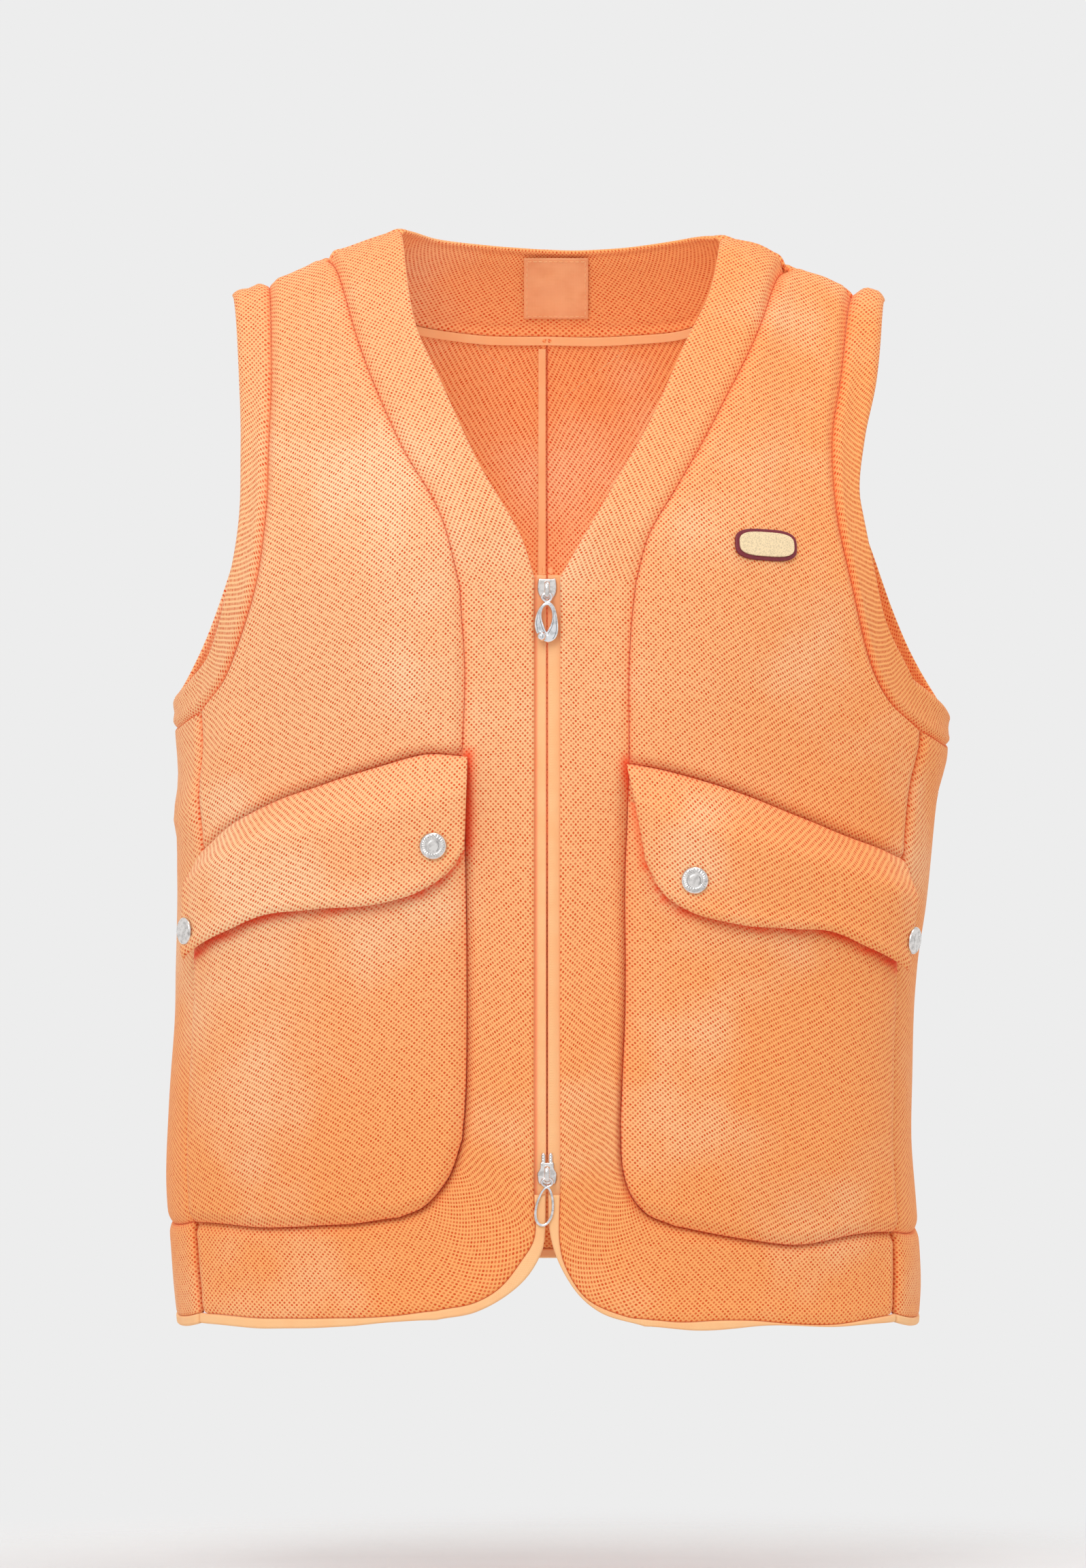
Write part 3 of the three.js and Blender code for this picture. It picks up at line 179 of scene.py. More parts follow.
SIDE = SIDE_SEAM_ANGLE
PATTERN: dict[Side, dict[str, Spots]] = {
    Side.RIGHT: {
        "neck_edge": ridge(81) + front((72, -48), (58, -80), (38, -123), (14.5, -164), (ZIP_EDGE, -187)),
        "zip_edge": front((ZIP_EDGE, -187), (ZIP_EDGE, BINDING_TOP)),
        "corner_edge": front((ZIP_EDGE, BINDING_TOP), (ZIP_EDGE, -545), (14, -557), (25, -571),
                             (39, -579.5), (60, -584)),
        "hem_edge": front((60, -584), (89, -587.5), (146, -589.5)) + round_body((SIDE, -588.5)),
        "band_top": ridge(122) + front((103, -60), (81, -112), (58, -152), (46.5, -192.5)),
        "band_chest": front((46.5, -192.5), (44, -238), (46, -284)),
        "band_pocket": front((46, -284), (44, -361), (44, -463), (46, -491)),
        "band_corner": front((46, -491), (53, -511), (66, -527), (80, -533.5)),
        "band_hem": front((80, -533.5), (103, -537), (131, -539), (160, -540))
        + round_body((SIDE, -538.5)),
        "armhole_seam": ridge(153) + front((151.5, -77), (153, -115), (154.5, -152), (160, -192.5),
                                           (171, -227), (179, -246)) + round_body((SIDE, -262)),
        "underarm_seam": round_body((SIDE, -262), (90, -272), (105, -262))
        + back((176, -235), (160, -190), (152, -140), (150, -90)) + behind(153),
        "armhole_edge": ridge(172.5) + front((168.5, -80), (167.5, -118), (168, -154), (172, -183),
                                             (179, -213), (185, -230), (190.5, -238)),
        "underarm_edge": front((190.5, -238)) + round_body((78, -249), (90, -253), (103, -246))
        + back((187, -220), (174, -183), (165, -140), (163, -100)) + behind(172.5),
        "hem_outline": front((TAPE_GAP, BINDING_TOP), (1, -540), (2.5, -551), (9.5, -564), (21, -575),
                             (39, -584.8), (60, -589)),
        "hem_bottom": front((60, -589), (103, -592.5), (146, -595)) + round_body((SIDE, -594)),
        "flap_top": front((43, -284), (66, -283), (89, -289), (117, -298), (145, -308), (168, -320))
        + round_body((SIDE - 2, -338)),
        "flap_bottom": front((44, -334), (52, -346), (67, -356.5), (89, -363.5), (120, -366.5),
                             (144, -370), (164, -380)) + round_body((SIDE - 3, -396)),
        "snaps": front((61.5, -331.5)) + round_body((61.5, -380)),
        "neck_back": behind(81) + back((60, -2.5), (31, -6), (0, -8.5)),
        "yoke_seam": behind(122) + back((100, -38), (72, -50), (40, -55), (0, -56)),
        "back_hem_seam": round_body((SIDE, -538.5), (110, -533), (145, -519), (180, -512)),
        "back_hem_edge": round_body((SIDE, -588.5), (110, -583), (145, -568), (180, -561)),
        "back_hem_bottom": round_body((SIDE, -594), (110, -588.5), (145, -573.5), (180, -566.5)),
    },
    Side.LEFT: {
        "neck_edge": ridge(96) + front((89, -31), (75, -60), (57, -100), (37, -135), (22, -161),
                                       (ZIP_EDGE, -187)),
        "zip_edge": front((ZIP_EDGE, -187), (ZIP_EDGE, BINDING_TOP)),
        "corner_edge": front((ZIP_EDGE, BINDING_TOP), (ZIP_EDGE, -548), (10, -560), (20.5, -576.5),
                             (42.5, -587), (57, -589)),
        "hem_edge": front((57, -589), (73, -590.3), (117, -590.3)) + round_body((SIDE, -589)),
        "band_top": ridge(133) + front((115, -54), (92, -100), (72, -135), (55, -164), (47.5, -190)),
        "band_chest": front((47.5, -190), (44.5, -221), (44.5, -288)),
        "band_pocket": front((44.5, -288), (42.5, -346), (42.5, -420), (40, -482)),
        "band_corner": front((40, -482), (41, -506), (45, -520), (53.5, -531), (69, -538)),
        "band_hem": front((69, -538), (93, -543), (131, -549), (163, -545)) + round_body((SIDE, -544)),
        "armhole_seam": ridge(168.5) + front((161, -77), (156, -115), (158.5, -152), (167, -192.5),
                                             (178, -237), (188, -256)) + round_body((SIDE, -272)),
        "underarm_seam": round_body((SIDE, -272), (90, -281), (105, -271))
        + back((187, -240), (169, -190), (158, -140), (158, -90)) + behind(168.5),
        "armhole_edge": ridge(184.5) + front((179.5, -80), (173, -112), (170, -140), (172, -154),
                                             (177.5, -183), (184.5, -213), (198.5, -242.5)),
        "underarm_edge": front((198.5, -242.5)) + round_body((78, -256), (90, -262), (103, -255))
        + back((198, -226), (182, -183), (169, -140), (171, -100)) + behind(184.5),
        "hem_outline": front((TAPE_GAP, BINDING_TOP), (1.2, -540), (4.4, -553), (10, -565),
                             (18, -576.3), (30, -585.5), (53, -592.5)),
        "hem_bottom": front((53, -592.5), (85, -595), (131.5, -593)) + round_body((SIDE, -593.5)),
        "flap_top": front((43, -288), (61, -291), (85, -297.5), (116, -308.5), (146, -321), (170, -331))
        + round_body((SIDE - 2, -342)),
        "flap_bottom": front((52, -340), (60, -356.5), (75, -367.5), (100, -374.5), (124, -376.5),
                             (145, -378), (165, -388)) + round_body((SIDE - 3, -401)),
        "snaps": front((77.5, -350)) + round_body((63.5, -383)),
        "neck_back": behind(96) + back((69, -4), (45, -7.5), (19, -9), (0, -8.5)),
        "yoke_seam": behind(133) + back((104, -38), (76, -52), (40, -56), (0, -56)),
        "back_hem_seam": round_body((SIDE, -544), (110, -535), (145, -519), (180, -512)),
        "back_hem_edge": round_body((SIDE, -589), (110, -584), (145, -568), (180, -561)),
        "back_hem_bottom": round_body((SIDE, -593.5), (110, -589), (145, -573.5), (180, -566.5)),
    },
}


# ------------------------------------------------------------------------- plain maths
def smooth(share: Array) -> Array:
    """An S curve from 0 to 1: 3 s squared less 2 s cubed, with s held between 0 and 1."""
    s = np.clip(share, 0.0, 1.0)
    return s * s * (3.0 - 2.0 * s)


def signed_power(value: Array, power: float) -> Array:
    """The size of the value raised to a power, with the value's own sign."""
    return np.sign(value) * np.abs(value) ** power


def unit(vectors: Array) -> Array:
    """Vectors scaled to length one along the last axis."""
    return vectors / np.maximum(np.linalg.norm(vectors, axis=-1, keepdims=True), 1e-12)


def circle(count: int) -> Array:
    """Even angles once round a circle, in radians."""
    return np.linspace(0, 2 * np.pi, count, endpoint=False)


def lengths(points: Array, axis: int = 0) -> Array:
    """How far each point lies from the first one, along one axis of a grid of points."""
    steps = np.linalg.norm(np.diff(points, axis=axis), axis=-1).cumsum(axis=axis)
    return np.concatenate([np.zeros_like(np.take(steps, [0], axis=axis)), steps], axis=axis)


def edged(count: int) -> Array:
    """Even shares from 0 to 1, with six closer ones beside each end for a round edge."""
    even = np.linspace(0.0, 1.0, count + 1)
    close = even[1] * np.array([0.08, 0.2, 0.36, 0.56, 0.78, 1.4])
    return np.unique(np.concatenate([even, close, 1.0 - close]))


class SmoothTable:
    """A smooth curve through knots that never overshoots them.

    Between two knots it is a cubic, whose slope at each knot is the harmonic mean of the
    slopes on its two sides, or zero where they differ in sign.
    """

    def __init__(self, knots: Iterable[tuple[float, float]]) -> None:
        """Keeps the knots and works out the slope at each."""
        table = np.array(list(knots), float)
        self.x = table[:, 0]
        self.y = table[:, 1]
        slopes = np.diff(self.y) / np.diff(self.x)
        before = slopes[:-1]
        after = slopes[1:]
        same = before * after > 0
        total = np.where(same, before + after, 1.0)
        inner = np.where(same, 2 * before * after / total, 0.0)
        self.slope = np.concatenate([slopes[:1], inner, slopes[-1:]])

    def __call__(self, x: Array) -> Array:
        """The curve's height at x, held level past both ends."""
        held = np.clip(x, self.x[0], self.x[-1])
        i = np.clip(np.searchsorted(self.x, held, side="right") - 1, 0, len(self.x) - 2)
        step = self.x[i + 1] - self.x[i]
        rise = self.y[i + 1] - self.y[i]
        s = (held - self.x[i]) / step
        first = self.slope[i] * step
        last = self.slope[i + 1] * step
        bend = first + last - 2 * rise
        return self.y[i] + s * (first + s * (3 * rise - 2 * first - last + s * bend))


# ------------------------------------------------------------------------- the body form
@dataclass
class BodyForm:
    """One half of the body that the vest hangs on.

    A place is (angle, t). Its x is the half width at that drop times sin(angle) to the power
    2/n, its y is minus the depth at that t times cos(angle) to the same power, and its z is
    the shoulder line's height at x less t squared.
    """

    side: Side
    front_depth: float
    back_depth: float = 100.0
    half_width: SmoothTable = field(init=False)
    front_profile: SmoothTable = field(init=False)
    back_profile: SmoothTable = field(init=False)
    shoulder: SmoothTable = field(init=False)

    def __post_init__(self) -> None:
        """Makes the tables."""
        self.half_width = SmoothTable(HALF_WIDTH[self.side])
        self.front_profile = SmoothTable(FRONT_PROFILE)
        self.back_profile = SmoothTable(BACK_PROFILE)
        self.shoulder = SmoothTable(SHOULDER_LINE)

    def bust(self, x: Array, z: Array) -> Array:
        """The rise of the chest: a bell round its centre that fades out near the zip."""
        across = (np.abs(x) - BUST_CENTRE[0]) / BUST_SIZE[0]
        up = (z - BUST_CENTRE[1]) / BUST_SIZE[1]
        clear = smooth((np.abs(x) - 14.0) / 40.0)
        return BUST_RISE * clear * np.exp(-(across**2) - up**2)

    def point(self, places: Array) -> Array:
        """The points of the form at places whose last axis is (angle, t)."""
        angle = places[..., 0]
        t = places[..., 1]
        theta = np.radians(np.where(t < 0, 180.0 - angle, angle))
        reach = np.abs(t)
        drop = reach**2
        power = 2.0 / ROUNDNESS
        x = self.side.sign * self.half_width(drop) * signed_power(np.sin(theta), power)
        z = self.shoulder(np.abs(x)) - drop
        turn = signed_power(np.cos(theta), power)
        before = -self.front_depth * self.front_profile(reach) * turn
        before = before - self.bust(x, z) * np.minimum(1.0, turn * 2.0)
        after = -self.back_depth * self.back_profile(reach) * turn
        return np.stack([x, np.where(turn < 0, after, before), z], axis=-1)

    def normal(self, places: Array) -> Array:
        """The outward directions at places, from small steps round and down the form."""
        around = np.array([0.6, 0.0])
        along = np.array([0.0, 0.06])
        across = self.point(places + around) - self.point(places - around)
        down = self.point(places + along) - self.point(places - along)
        return unit(np.cross(down, across) * self.side.sign)

    def on_front(self, x: Array, z: Array) -> Array:
        """The places on the front at distances from the centre line and heights.

        The angle is the arc sine of the share of the half width, raised to n/2.
        """
        drop = np.maximum(self.shoulder(np.abs(x)) - z, 0.0)
        share = np.minimum(np.abs(x) / self.half_width(drop), 1.0)
        angle = np.degrees(np.arcsin(share ** (ROUNDNESS / 2)))
        return np.stack(np.broadcast_arrays(angle, np.sqrt(drop)), axis=-1)

    def on_back(self, x: Array, z: Array) -> Array:
        """The places on the back at distances from the centre line and heights."""
        places = self.on_front(x, z)
        places[..., 0] = 180.0 - places[..., 0]
        return places

    def at_angle(self, angle: Array, z: Array) -> Array:
        """The places at angles and heights, found in six passes."""
        drop = self.shoulder(self.half_width(0.0)) - z
        for _ in range(6):
            reach = np.abs(np.sin(np.radians(angle))) ** (2 / ROUNDNESS)
            x = self.half_width(drop) * reach
            drop = self.shoulder(x) - z
        return np.stack(np.broadcast_arrays(angle, np.sqrt(np.maximum(drop, 0.0))), axis=-1)

    def place(self, spot: tuple[Spot, float, float]) -> Array:
        """The (angle, t) of one spot of the pattern."""
        kind, first, second = spot
        if kind is Spot.ROUND:
            return self.at_angle(first, second)
        if kind is Spot.BACK:
            return self.on_back(first, second)
        if kind is Spot.FRONT:
            return self.on_front(first, second)
        share = first / self.half_width(0.0)
        angle = np.degrees(np.arcsin(share ** (ROUNDNESS / 2)))
        return np.array([180.0 - angle if kind is Spot.BEHIND else angle, 0.0])

    def weave(self, places: Array) -> Array:
        """How far each place lies round and down the cloth, in millimetres.

        Round is the length of the form's level line from the zip to the place, and down is the
        length of its upright line from the ridge, both summed on a grid and read between its
        points.
        """
        angles = np.linspace(0.0, 180.0, 121)
        drops = np.linspace(0.0, 26.0, 131)
        grid = self.point(np.stack(np.meshgrid(angles, drops, indexing="ij"), axis=-1))
        across = lengths(grid, 0)
        down = lengths(grid, 1)
        a = np.clip(places[..., 0] / angles[1], 0, len(angles) - 1.001)
        b = np.clip(places[..., 1] / drops[1], 0, len(drops) - 1.001)
        i = a.astype(int)
        j = b.astype(int)
        u = a - i
        v = b - j

        def between(table: Array) -> Array:
            """The table read between its points."""
            near = table[i, j] * (1 - v) + table[i, j + 1] * v
            far = table[i + 1, j] * (1 - v) + table[i + 1, j + 1] * v
            return near * (1 - u) + far * u

        return np.stack([self.side.sign * between(across), -between(down)], axis=-1)


# ------------------------------------------------------------------------- seam lines
ANGLE_SCALE = 0.14


def trace(places: Array, steps: int) -> Array:
    """A centripetal Catmull-Rom curve through places, cut into steps of equal length.

    Each stretch is a cubic whose end tangents come from its neighbours, weighted by the square
    root of the distances between them. Angles are scaled first, so that one step of angle and
    one of t are about as long on the cloth.

    Args:
        places: The places that the curve goes through.
        steps: The number of steps.

    Returns:
        The places along the curve.
    """
    scale = np.array([ANGLE_SCALE, 1.0])
    knots = np.asarray(places, float) * scale
    ends = np.vstack([2 * knots[0] - knots[1], knots, 2 * knots[-1] - knots[-2]])
    gaps = np.sqrt(np.maximum(np.linalg.norm(np.diff(ends, axis=0), axis=1), 1e-6))[:, None]
    p0, p1, p2, p3 = ends[:-3], ends[1:-2], ends[2:-1], ends[3:]
    g0, g1, g2 = gaps[:-2], gaps[1:-1], gaps[2:]
    first = ((p1 - p0) / g0 - (p2 - p0) / (g0 + g1) + (p2 - p1) / g1) * g1
    last = ((p2 - p1) / g1 - (p3 - p1) / (g1 + g2) + (p3 - p2) / g2) * g1
    s = np.linspace(0.0, 1.0, 33)[:-1, None, None]
    cubic = (2 * s**3 - 3 * s**2 + 1) * p1 + (s**3 - 2 * s**2 + s) * first
    cubic = cubic + (3 * s**2 - 2 * s**3) * p2 + (s**3 - s**2) * last
    line = np.vstack([cubic.transpose(1, 0, 2).reshape(-1, 2), knots[-1:]])
    length = lengths(line)
    at = np.linspace(0.0, length[-1], steps + 1)
    even = np.stack([np.interp(at, length, line[:, i]) for i in range(2)], axis=-1) / scale
    even[:, 1] = np.maximum(even[:, 1], 0.0)
    return even


def joined(*lines: Array) -> Array:
    """Lines one after the other, with the place where two meet kept once."""
    return np.concatenate([lines[0], *[line[1:] for line in lines[1:]]])


def recut(line: Array, shares: Array) -> Array:
    """A line cut again, at shares of its own steps."""
    at = shares * (len(line) - 1)
    i = np.clip(at.astype(int), 0, len(line) - 2)
    s = (at - i)[:, None]
    return line[i] * (1 - s) + line[i + 1] * s


def filled(left: Array, right: Array, top: Array, bottom: Array) -> Array:
    """Every place inside four lines.

    Across, it runs straight from the left line to the right one. The bends of the top and the
    bottom line are added, each fading with the cube of the share of the way from it.

    Args:
        left: The line that each row starts from.
        right: The line that each row ends on.
        top: The first row's line.
        bottom: The last row's line.

    Returns:
        The places, as rows of columns, closer beside the edges.
    """
    down = edged(len(left) - 1)
    across = edged(len(top) - 1)
    left, right = recut(left, down)[:, None], recut(right, down)[:, None]
    top, bottom = recut(top, across)[None], recut(bottom, across)[None]
    u = across[None, :, None]
    v = down[:, None, None]
    bend_top = top - (top[:, :1] * (1 - u) + top[:, -1:] * u)
    bend_bottom = bottom - (bottom[:, :1] * (1 - u) + bottom[:, -1:] * u)
    places = left * (1 - u) + right * u + (1 - v) ** 3 * bend_top + v**3 * bend_bottom
    places[..., 1] = np.maximum(places[..., 1], 0.0)
    return places


def strip(inner: Array, outer: Array, along: Array, across: Array) -> Array:
    """Places on straight lines between two curves, at shares along and across them."""
    start = recut(inner, along)[:, None]
    end = recut(outer, along)[:, None]
    return start * (1 - across[None, :, None]) + end * across[None, :, None]


FINE = 8
FLAP_SIDE_Z = {Side.RIGHT: -340.0, Side.LEFT: -344.0}


class HalfPattern:
    """The form and the seam lines of one side. Each line's steps are about 3 mm long."""

    def __init__(self, side: Side, front_depth: float) -> None:
        """Draws the side's pattern on its form."""
        self.side = side
        self.form = BodyForm(side, front_depth)
        self.spots = {
            name: np.array([self.form.place(spot) for spot in spots])
            for name, spots in PATTERN[side].items()
        }
        self.neck_edge = self.line("neck_edge", 9)
        self.inner_edge = joined(self.neck_edge, self.line("zip_edge", 6), self.hem_line())
        self.band_seam = joined(self.line("band_top", 9), self.line("band_chest", 2),
                                self.line("band_pocket", 4), self.line("band_corner", 4),
                                self.line("band_hem", 7))
        self.hem_edge = joined(self.line("hem_outline", 4), self.line("hem_bottom", 7))
        self.arm_seam = joined(self.line("armhole_seam", 10), self.line("underarm_seam", 12))
        self.arm_edge = joined(self.line("armhole_edge", 10), self.line("underarm_edge", 12))
        self.side_seam = self.straight(
            self.spots["armhole_seam"][-1],
            self.form.at_angle(SIDE_SEAM_ANGLE, FLAP_SIDE_Z[side]),
            self.spots["band_hem"][-1], steps=(1, 6))
        self.chest_rows = 11 * FINE
        self.panel_rows = 17 * FINE
        ends = (self.band_seam[self.chest_rows], self.side_seam[FINE])
        middle = self.spots["flap_top"][1:-1]
        self.flap_seam = trace(np.vstack([ends[0], middle, ends[1]]), 9 * FINE)

    def line(self, name: str, steps: int) -> Array:
        """A seam line, with FINE times as many steps as its frame solid."""
        return trace(self.spots[name], steps * FINE)

    def hem_line(self) -> Array:
        """The seam between the front band and the binding."""
        return joined(self.line("corner_edge", 4), self.line("hem_edge", 7))

    def straight(self, *places: Array, steps: tuple[int, ...]) -> Array:
        """Straight stretches between places, each in FINE times its number of steps."""
        ends = zip(places[:-1], places[1:], steps)
        return joined(*[np.linspace(a, b, count * FINE + 1) for a, b, count in ends])

    def lowered(self, places: Array, drop: float) -> Array:
        """The same places a distance lower, at the same angles."""
        return self.form.at_angle(places[:, 0], self.form.point(places)[:, 2] - drop)

    def pocket_height(self, places: Array) -> Array:
        """How far the pocket's face stands off the form.

        It is flat at the edges and swells by the pocket's depth: one less the fourth power of
        the distance from the middle, across, times one less the fourth power of the share down.
        """
        span = SIDE_SEAM_ANGLE - POCKET_INNER_ANGLE
        u = np.clip((places[..., 0] - POCKET_INNER_ANGLE) / span, 0, 1)
        z = self.form.point(places)[..., 2]
        v = np.clip((POCKET_TOP - z) / POCKET_HEIGHT, 0, 1)
        across = 1 - np.abs(2 * u - 1) ** 4
        return LIFT + FABRIC + POCKET_DEPTH * across * (1 - v**4)


# ------------------------------------------------------------------------- cloth sheets
class Edge(Enum):
    """How one edge of a cloth piece ends."""

    SEAM = "sewn to the next piece, so that it dips and thins"
    FOLD = "folded over, so that it is full and round"
    FLAT = "runs under another piece"
    NONE = "no edge: the piece closes on itself there"


@dataclass(frozen=True)
class Edges:
    """The four edges of a piece: its first and last row, and its first and last column."""

    top: Edge = Edge.SEAM
    bottom: Edge = Edge.SEAM
    start: Edge = Edge.SEAM
    end: Edge = Edge.SEAM


@dataclass(frozen=True)
class Fold:
    """A soft ridge in the hanging cloth, from one x and z to another, in front or behind."""

    start: tuple[float, float]
    end: tuple[float, float]
    height: float
    width: float
    behind: bool = False


@dataclass
class Hang:
    """How the soft cloth departs from the plain form: folds, slow waves, and still places.

    Each fold adds its height times a bell of the distance from its line. Waves add slow sines
    of place. Both die away near the still places, where something is fastened, and at the zip.
    """

    folds: tuple[Fold, ...] = ()
    still: tuple[tuple[float, float, float], ...] = ()
    lobes: tuple[tuple[float, float, float], ...] = ()
    wave: float = 0.7

    def rise(self, points: Array) -> Array:
        """The outward rise of the cloth, in millimetres, at points of the form."""
        x = points[..., 0]
        z = points[..., 2]
        rise = self.wave * np.sin(x / 31.0 + z / 47.0) * np.sin(z / 63.0 - x / 90.0 + 1.0)
        rise = rise + 0.4 * self.wave * np.sin(x / 13.0 - z / 22.0) * np.sin(z / 17.0 + 0.6)
        flat = np.stack([x, z], axis=-1)
        for fold in self.folds:
            start = np.array(fold.start)
            line = np.array(fold.end) - start
            share = np.clip((flat - start) @ line / (line @ line), 0, 1)
            away = np.linalg.norm(flat - start - share[..., None] * line, axis=-1)
            here = (points[..., 1] > 0) == fold.behind
            rise = rise + np.where(here, fold.height * np.exp(-((away / fold.width) ** 2)), 0.0)
        calm = smooth((np.abs(x) - 9.0) / 30.0)
        for centre_x, centre_z, radius in self.still:
            away = np.hypot(x - centre_x, z - centre_z)
            calm = calm * smooth(away / radius - 0.35)
        return rise * calm

    def puff(self, points: Array, out: Array) -> Array:
        """The extra fullness where the cloth faces up: each lobe's height times a bell of x."""
        x = points[..., 0]
        full = sum(height * np.exp(-(((x - middle) / width) ** 2))
                   for middle, height, width in self.lobes)
        return full * smooth(1.3 * out[..., 2])


@dataclass
class Draft:
    """A cloth piece before it is given thickness.

    base is its points on the form, out the outward directions there, weave the distances along
    the yarns in millimetres, and ring is true where the last row joins the first.
    """

    base: Array
    out: Array
    weave: Array
    ring: bool = False

    @classmethod
    def on(cls, form: BodyForm, places: Array, ring: bool = False) -> "Draft":
        """A draft at places of one form, with the yarns upright."""
        return cls(form.point(places), form.normal(places), form.weave(places), ring)

    def across_to(self, other: "Draft") -> "Draft":
        """This draft and the other side's, which meet at the last row of both."""
        pairs = zip((self.base, self.out, self.weave), (other.base, other.out, other.weave))
        return Draft(*[np.concatenate([mine, theirs[-2::-1]]) for mine, theirs in pairs])

    def along_strip(self) -> "Draft":
        """The same draft with the yarns running along the strip, so that they turn with it."""
        middle = self.base[:, self.base.shape[1] // 2]
        across = lengths(self.base, 1)
        down = np.broadcast_to(-lengths(middle)[:, None], across.shape)
        weave = np.stack([across, down], axis=-1)
        return Draft(self.base, self.out, weave, self.ring)

    def edge_distances(self) -> tuple[Array, Array, Array, Array]:
        """How far each point lies from the first and last row and the first and last column."""
        from_top = lengths(self.base, 0)
        from_start = lengths(self.base, 1)
        return from_top, from_top[-1:] - from_top, from_start, from_start[:, -1:] - from_start

    def flat_size(self, thickness: float) -> tuple[float, float, float]:
        """The width, the length and the area of the cut cloth, in metres.

        A thickness is added to the width, because the edges turn over by half of it each. The
        width is no less than what the area needs, and a narrow strip counts as LEAST_WIDTH.
        """
        diagonal_a = self.base[1:, 1:] - self.base[:-1, :-1]
        diagonal_b = self.base[1:, :-1] - self.base[:-1, 1:]
        area = 0.5 * np.linalg.norm(np.cross(diagonal_a, diagonal_b), axis=-1).sum()
        from_top, _, from_start, _ = self.edge_distances()
        length = float(from_top[-1].max())
        area = float(area) + thickness * length
        across = float(from_start[:, -1].max()) + thickness
        width = max(across, AREA_SLACK * area / length, LEAST_WIDTH)
        return width * MM, length * MM, area * MM**2


@dataclass(frozen=True)
class Cloth:
    """A kind of cloth: how thick it is and how it behaves where it is sewn."""

    thickness: float = FABRIC
    pinch: float = 1.7
    pinch_width: float = 3.4
    roll: float = 0.0
    roll_width: float = 5.0
    corner: float = 2.2


SPACER = Cloth()
PUFFED = Cloth(pinch=2.6, pinch_width=4.2, roll=0.55, roll_width=6.0)
ROLLED = Cloth(pinch=1.6, pinch_width=3.0, roll=0.9, roll_width=5.0, corner=3.0)
HEMMED = Cloth(thickness=3.4, pinch=2.2, pinch_width=4.0, roll=1.0, roll_width=4.5, corner=2.6)
ALL_FLAT = Edges(Edge.FLAT, Edge.FLAT, Edge.FLAT, Edge.FLAT)
BOUND = Cloth(thickness=3.4, pinch=0.0, corner=1.3)
TAPE = Cloth(thickness=1.0, pinch=0.0, corner=0.6)
FOLDS = (
    Fold((-171.0, -274.0), (-195.5, -318.0), 4.0, 9.0),
)
LOBES = ((115.0, 4.0, 14.0), (151.0, 2.5, 12.0), (177.0, 3.0, 7.0))
STILL = (
    (118.0, -170.0, 34.0),
    (-61.5, -331.5, 26.0), (-192.0, -380.0, 26.0), (77.5, -350.0, 26.0), (192.0, -383.0, 26.0),
)


def skins(draft: Draft, cloth: Cloth, edges: Edges, lay: Array, extra_pinch: Array | float = 1.0
          ) -> tuple[Array, Array, Array]:
    """The outer and inner skin of a sheet, and how close each point is to a seam.

    Half the thickness is multiplied, at each edge, by a quarter circle of the distance from
    it, so that the two skins meet in a round edge. At a sewn edge the middle of the sheet also
    dips by the pinch times a bell of that distance, and beside every edge the sheet is fuller
    by the roll.

    Args:
        draft: The piece's points on the form.
        cloth: The kind of cloth.
        edges: What its four edges are.
        lay: The height of the middle of the sheet over the form.
        extra_pinch: What the pinch at the first and last column is multiplied by, at each point.

    Returns:
        The outer skin, the inner skin and the nearness to a seam, from 0 to 1.
    """
    half = np.full(draft.base.shape[:2], cloth.thickness / 2)
    middle = np.broadcast_to(np.asarray(lay, float), half.shape).copy()
    seam = np.zeros_like(half)
    kinds = (edges.top, edges.bottom, edges.start, edges.end)
    extras = (1.0, 1.0, extra_pinch, extra_pinch)
    for kind, away, extra in zip(kinds, draft.edge_distances(), extras):
        if kind is Edge.NONE:
            continue
        near = 1 - np.clip(away / cloth.corner, 0, 1)
        half = half * np.sqrt(np.maximum(1 - near**2, 0.0))
        bell = np.exp(-((away / cloth.pinch_width) ** 2))
        if kind is Edge.SEAM:
            middle = middle - cloth.pinch * bell * extra
            seam = np.maximum(seam, np.exp(-((away / SEAM_SHADE_WIDTH) ** 2)))
        full = np.exp(-(((away - cloth.roll_width) / (0.6 * cloth.roll_width)) ** 2))
        middle = middle + cloth.roll * full * (kind is not Edge.FLAT)
    outer = draft.base + draft.out * (middle + half)[..., None]
    inner = draft.base + draft.out * (middle - half)[..., None]
    return outer, inner, seam


def make_mesh(name: str, points: Array, faces: list[list[int]], weave: Array | None = None,
              tone: Array | None = None) -> bpy.types.Object:
    """A smooth mesh object from arrays.

    Args:
        name: The piece's name.
        points: Its points, in millimetres.
        faces: Four corners for each face, or three.
        weave: Each point's place on the yarns, in metres, kept as a UV map.
        tone: Each point's painted shade, from 0, open, to 1, deep in a seam, kept as an attribute.

    Returns:
        The object, at the origin.
    """
    mesh = bpy.data.meshes.new(name)
    mesh.from_pydata((points * MM).tolist(), [], faces)
    mesh.polygons.foreach_set("use_smooth", np.ones(len(mesh.polygons), bool))
    if weave is not None:
        layer = mesh.uv_layers.new(name="weave")
        corners = np.zeros(len(mesh.loops), np.int32)
        mesh.loops.foreach_get("vertex_index", corners)
        layer.data.foreach_set("uv", weave[corners].astype(np.float32).ravel())
    if tone is not None:
        attribute = mesh.attributes.new("tone", "FLOAT", "POINT")
        attribute.data.foreach_set("value", tone.astype(np.float32).ravel())
    mesh.update()
    piece = bpy.data.objects.new(name, mesh)
    bpy.context.scene.collection.objects.link(piece)
    return piece


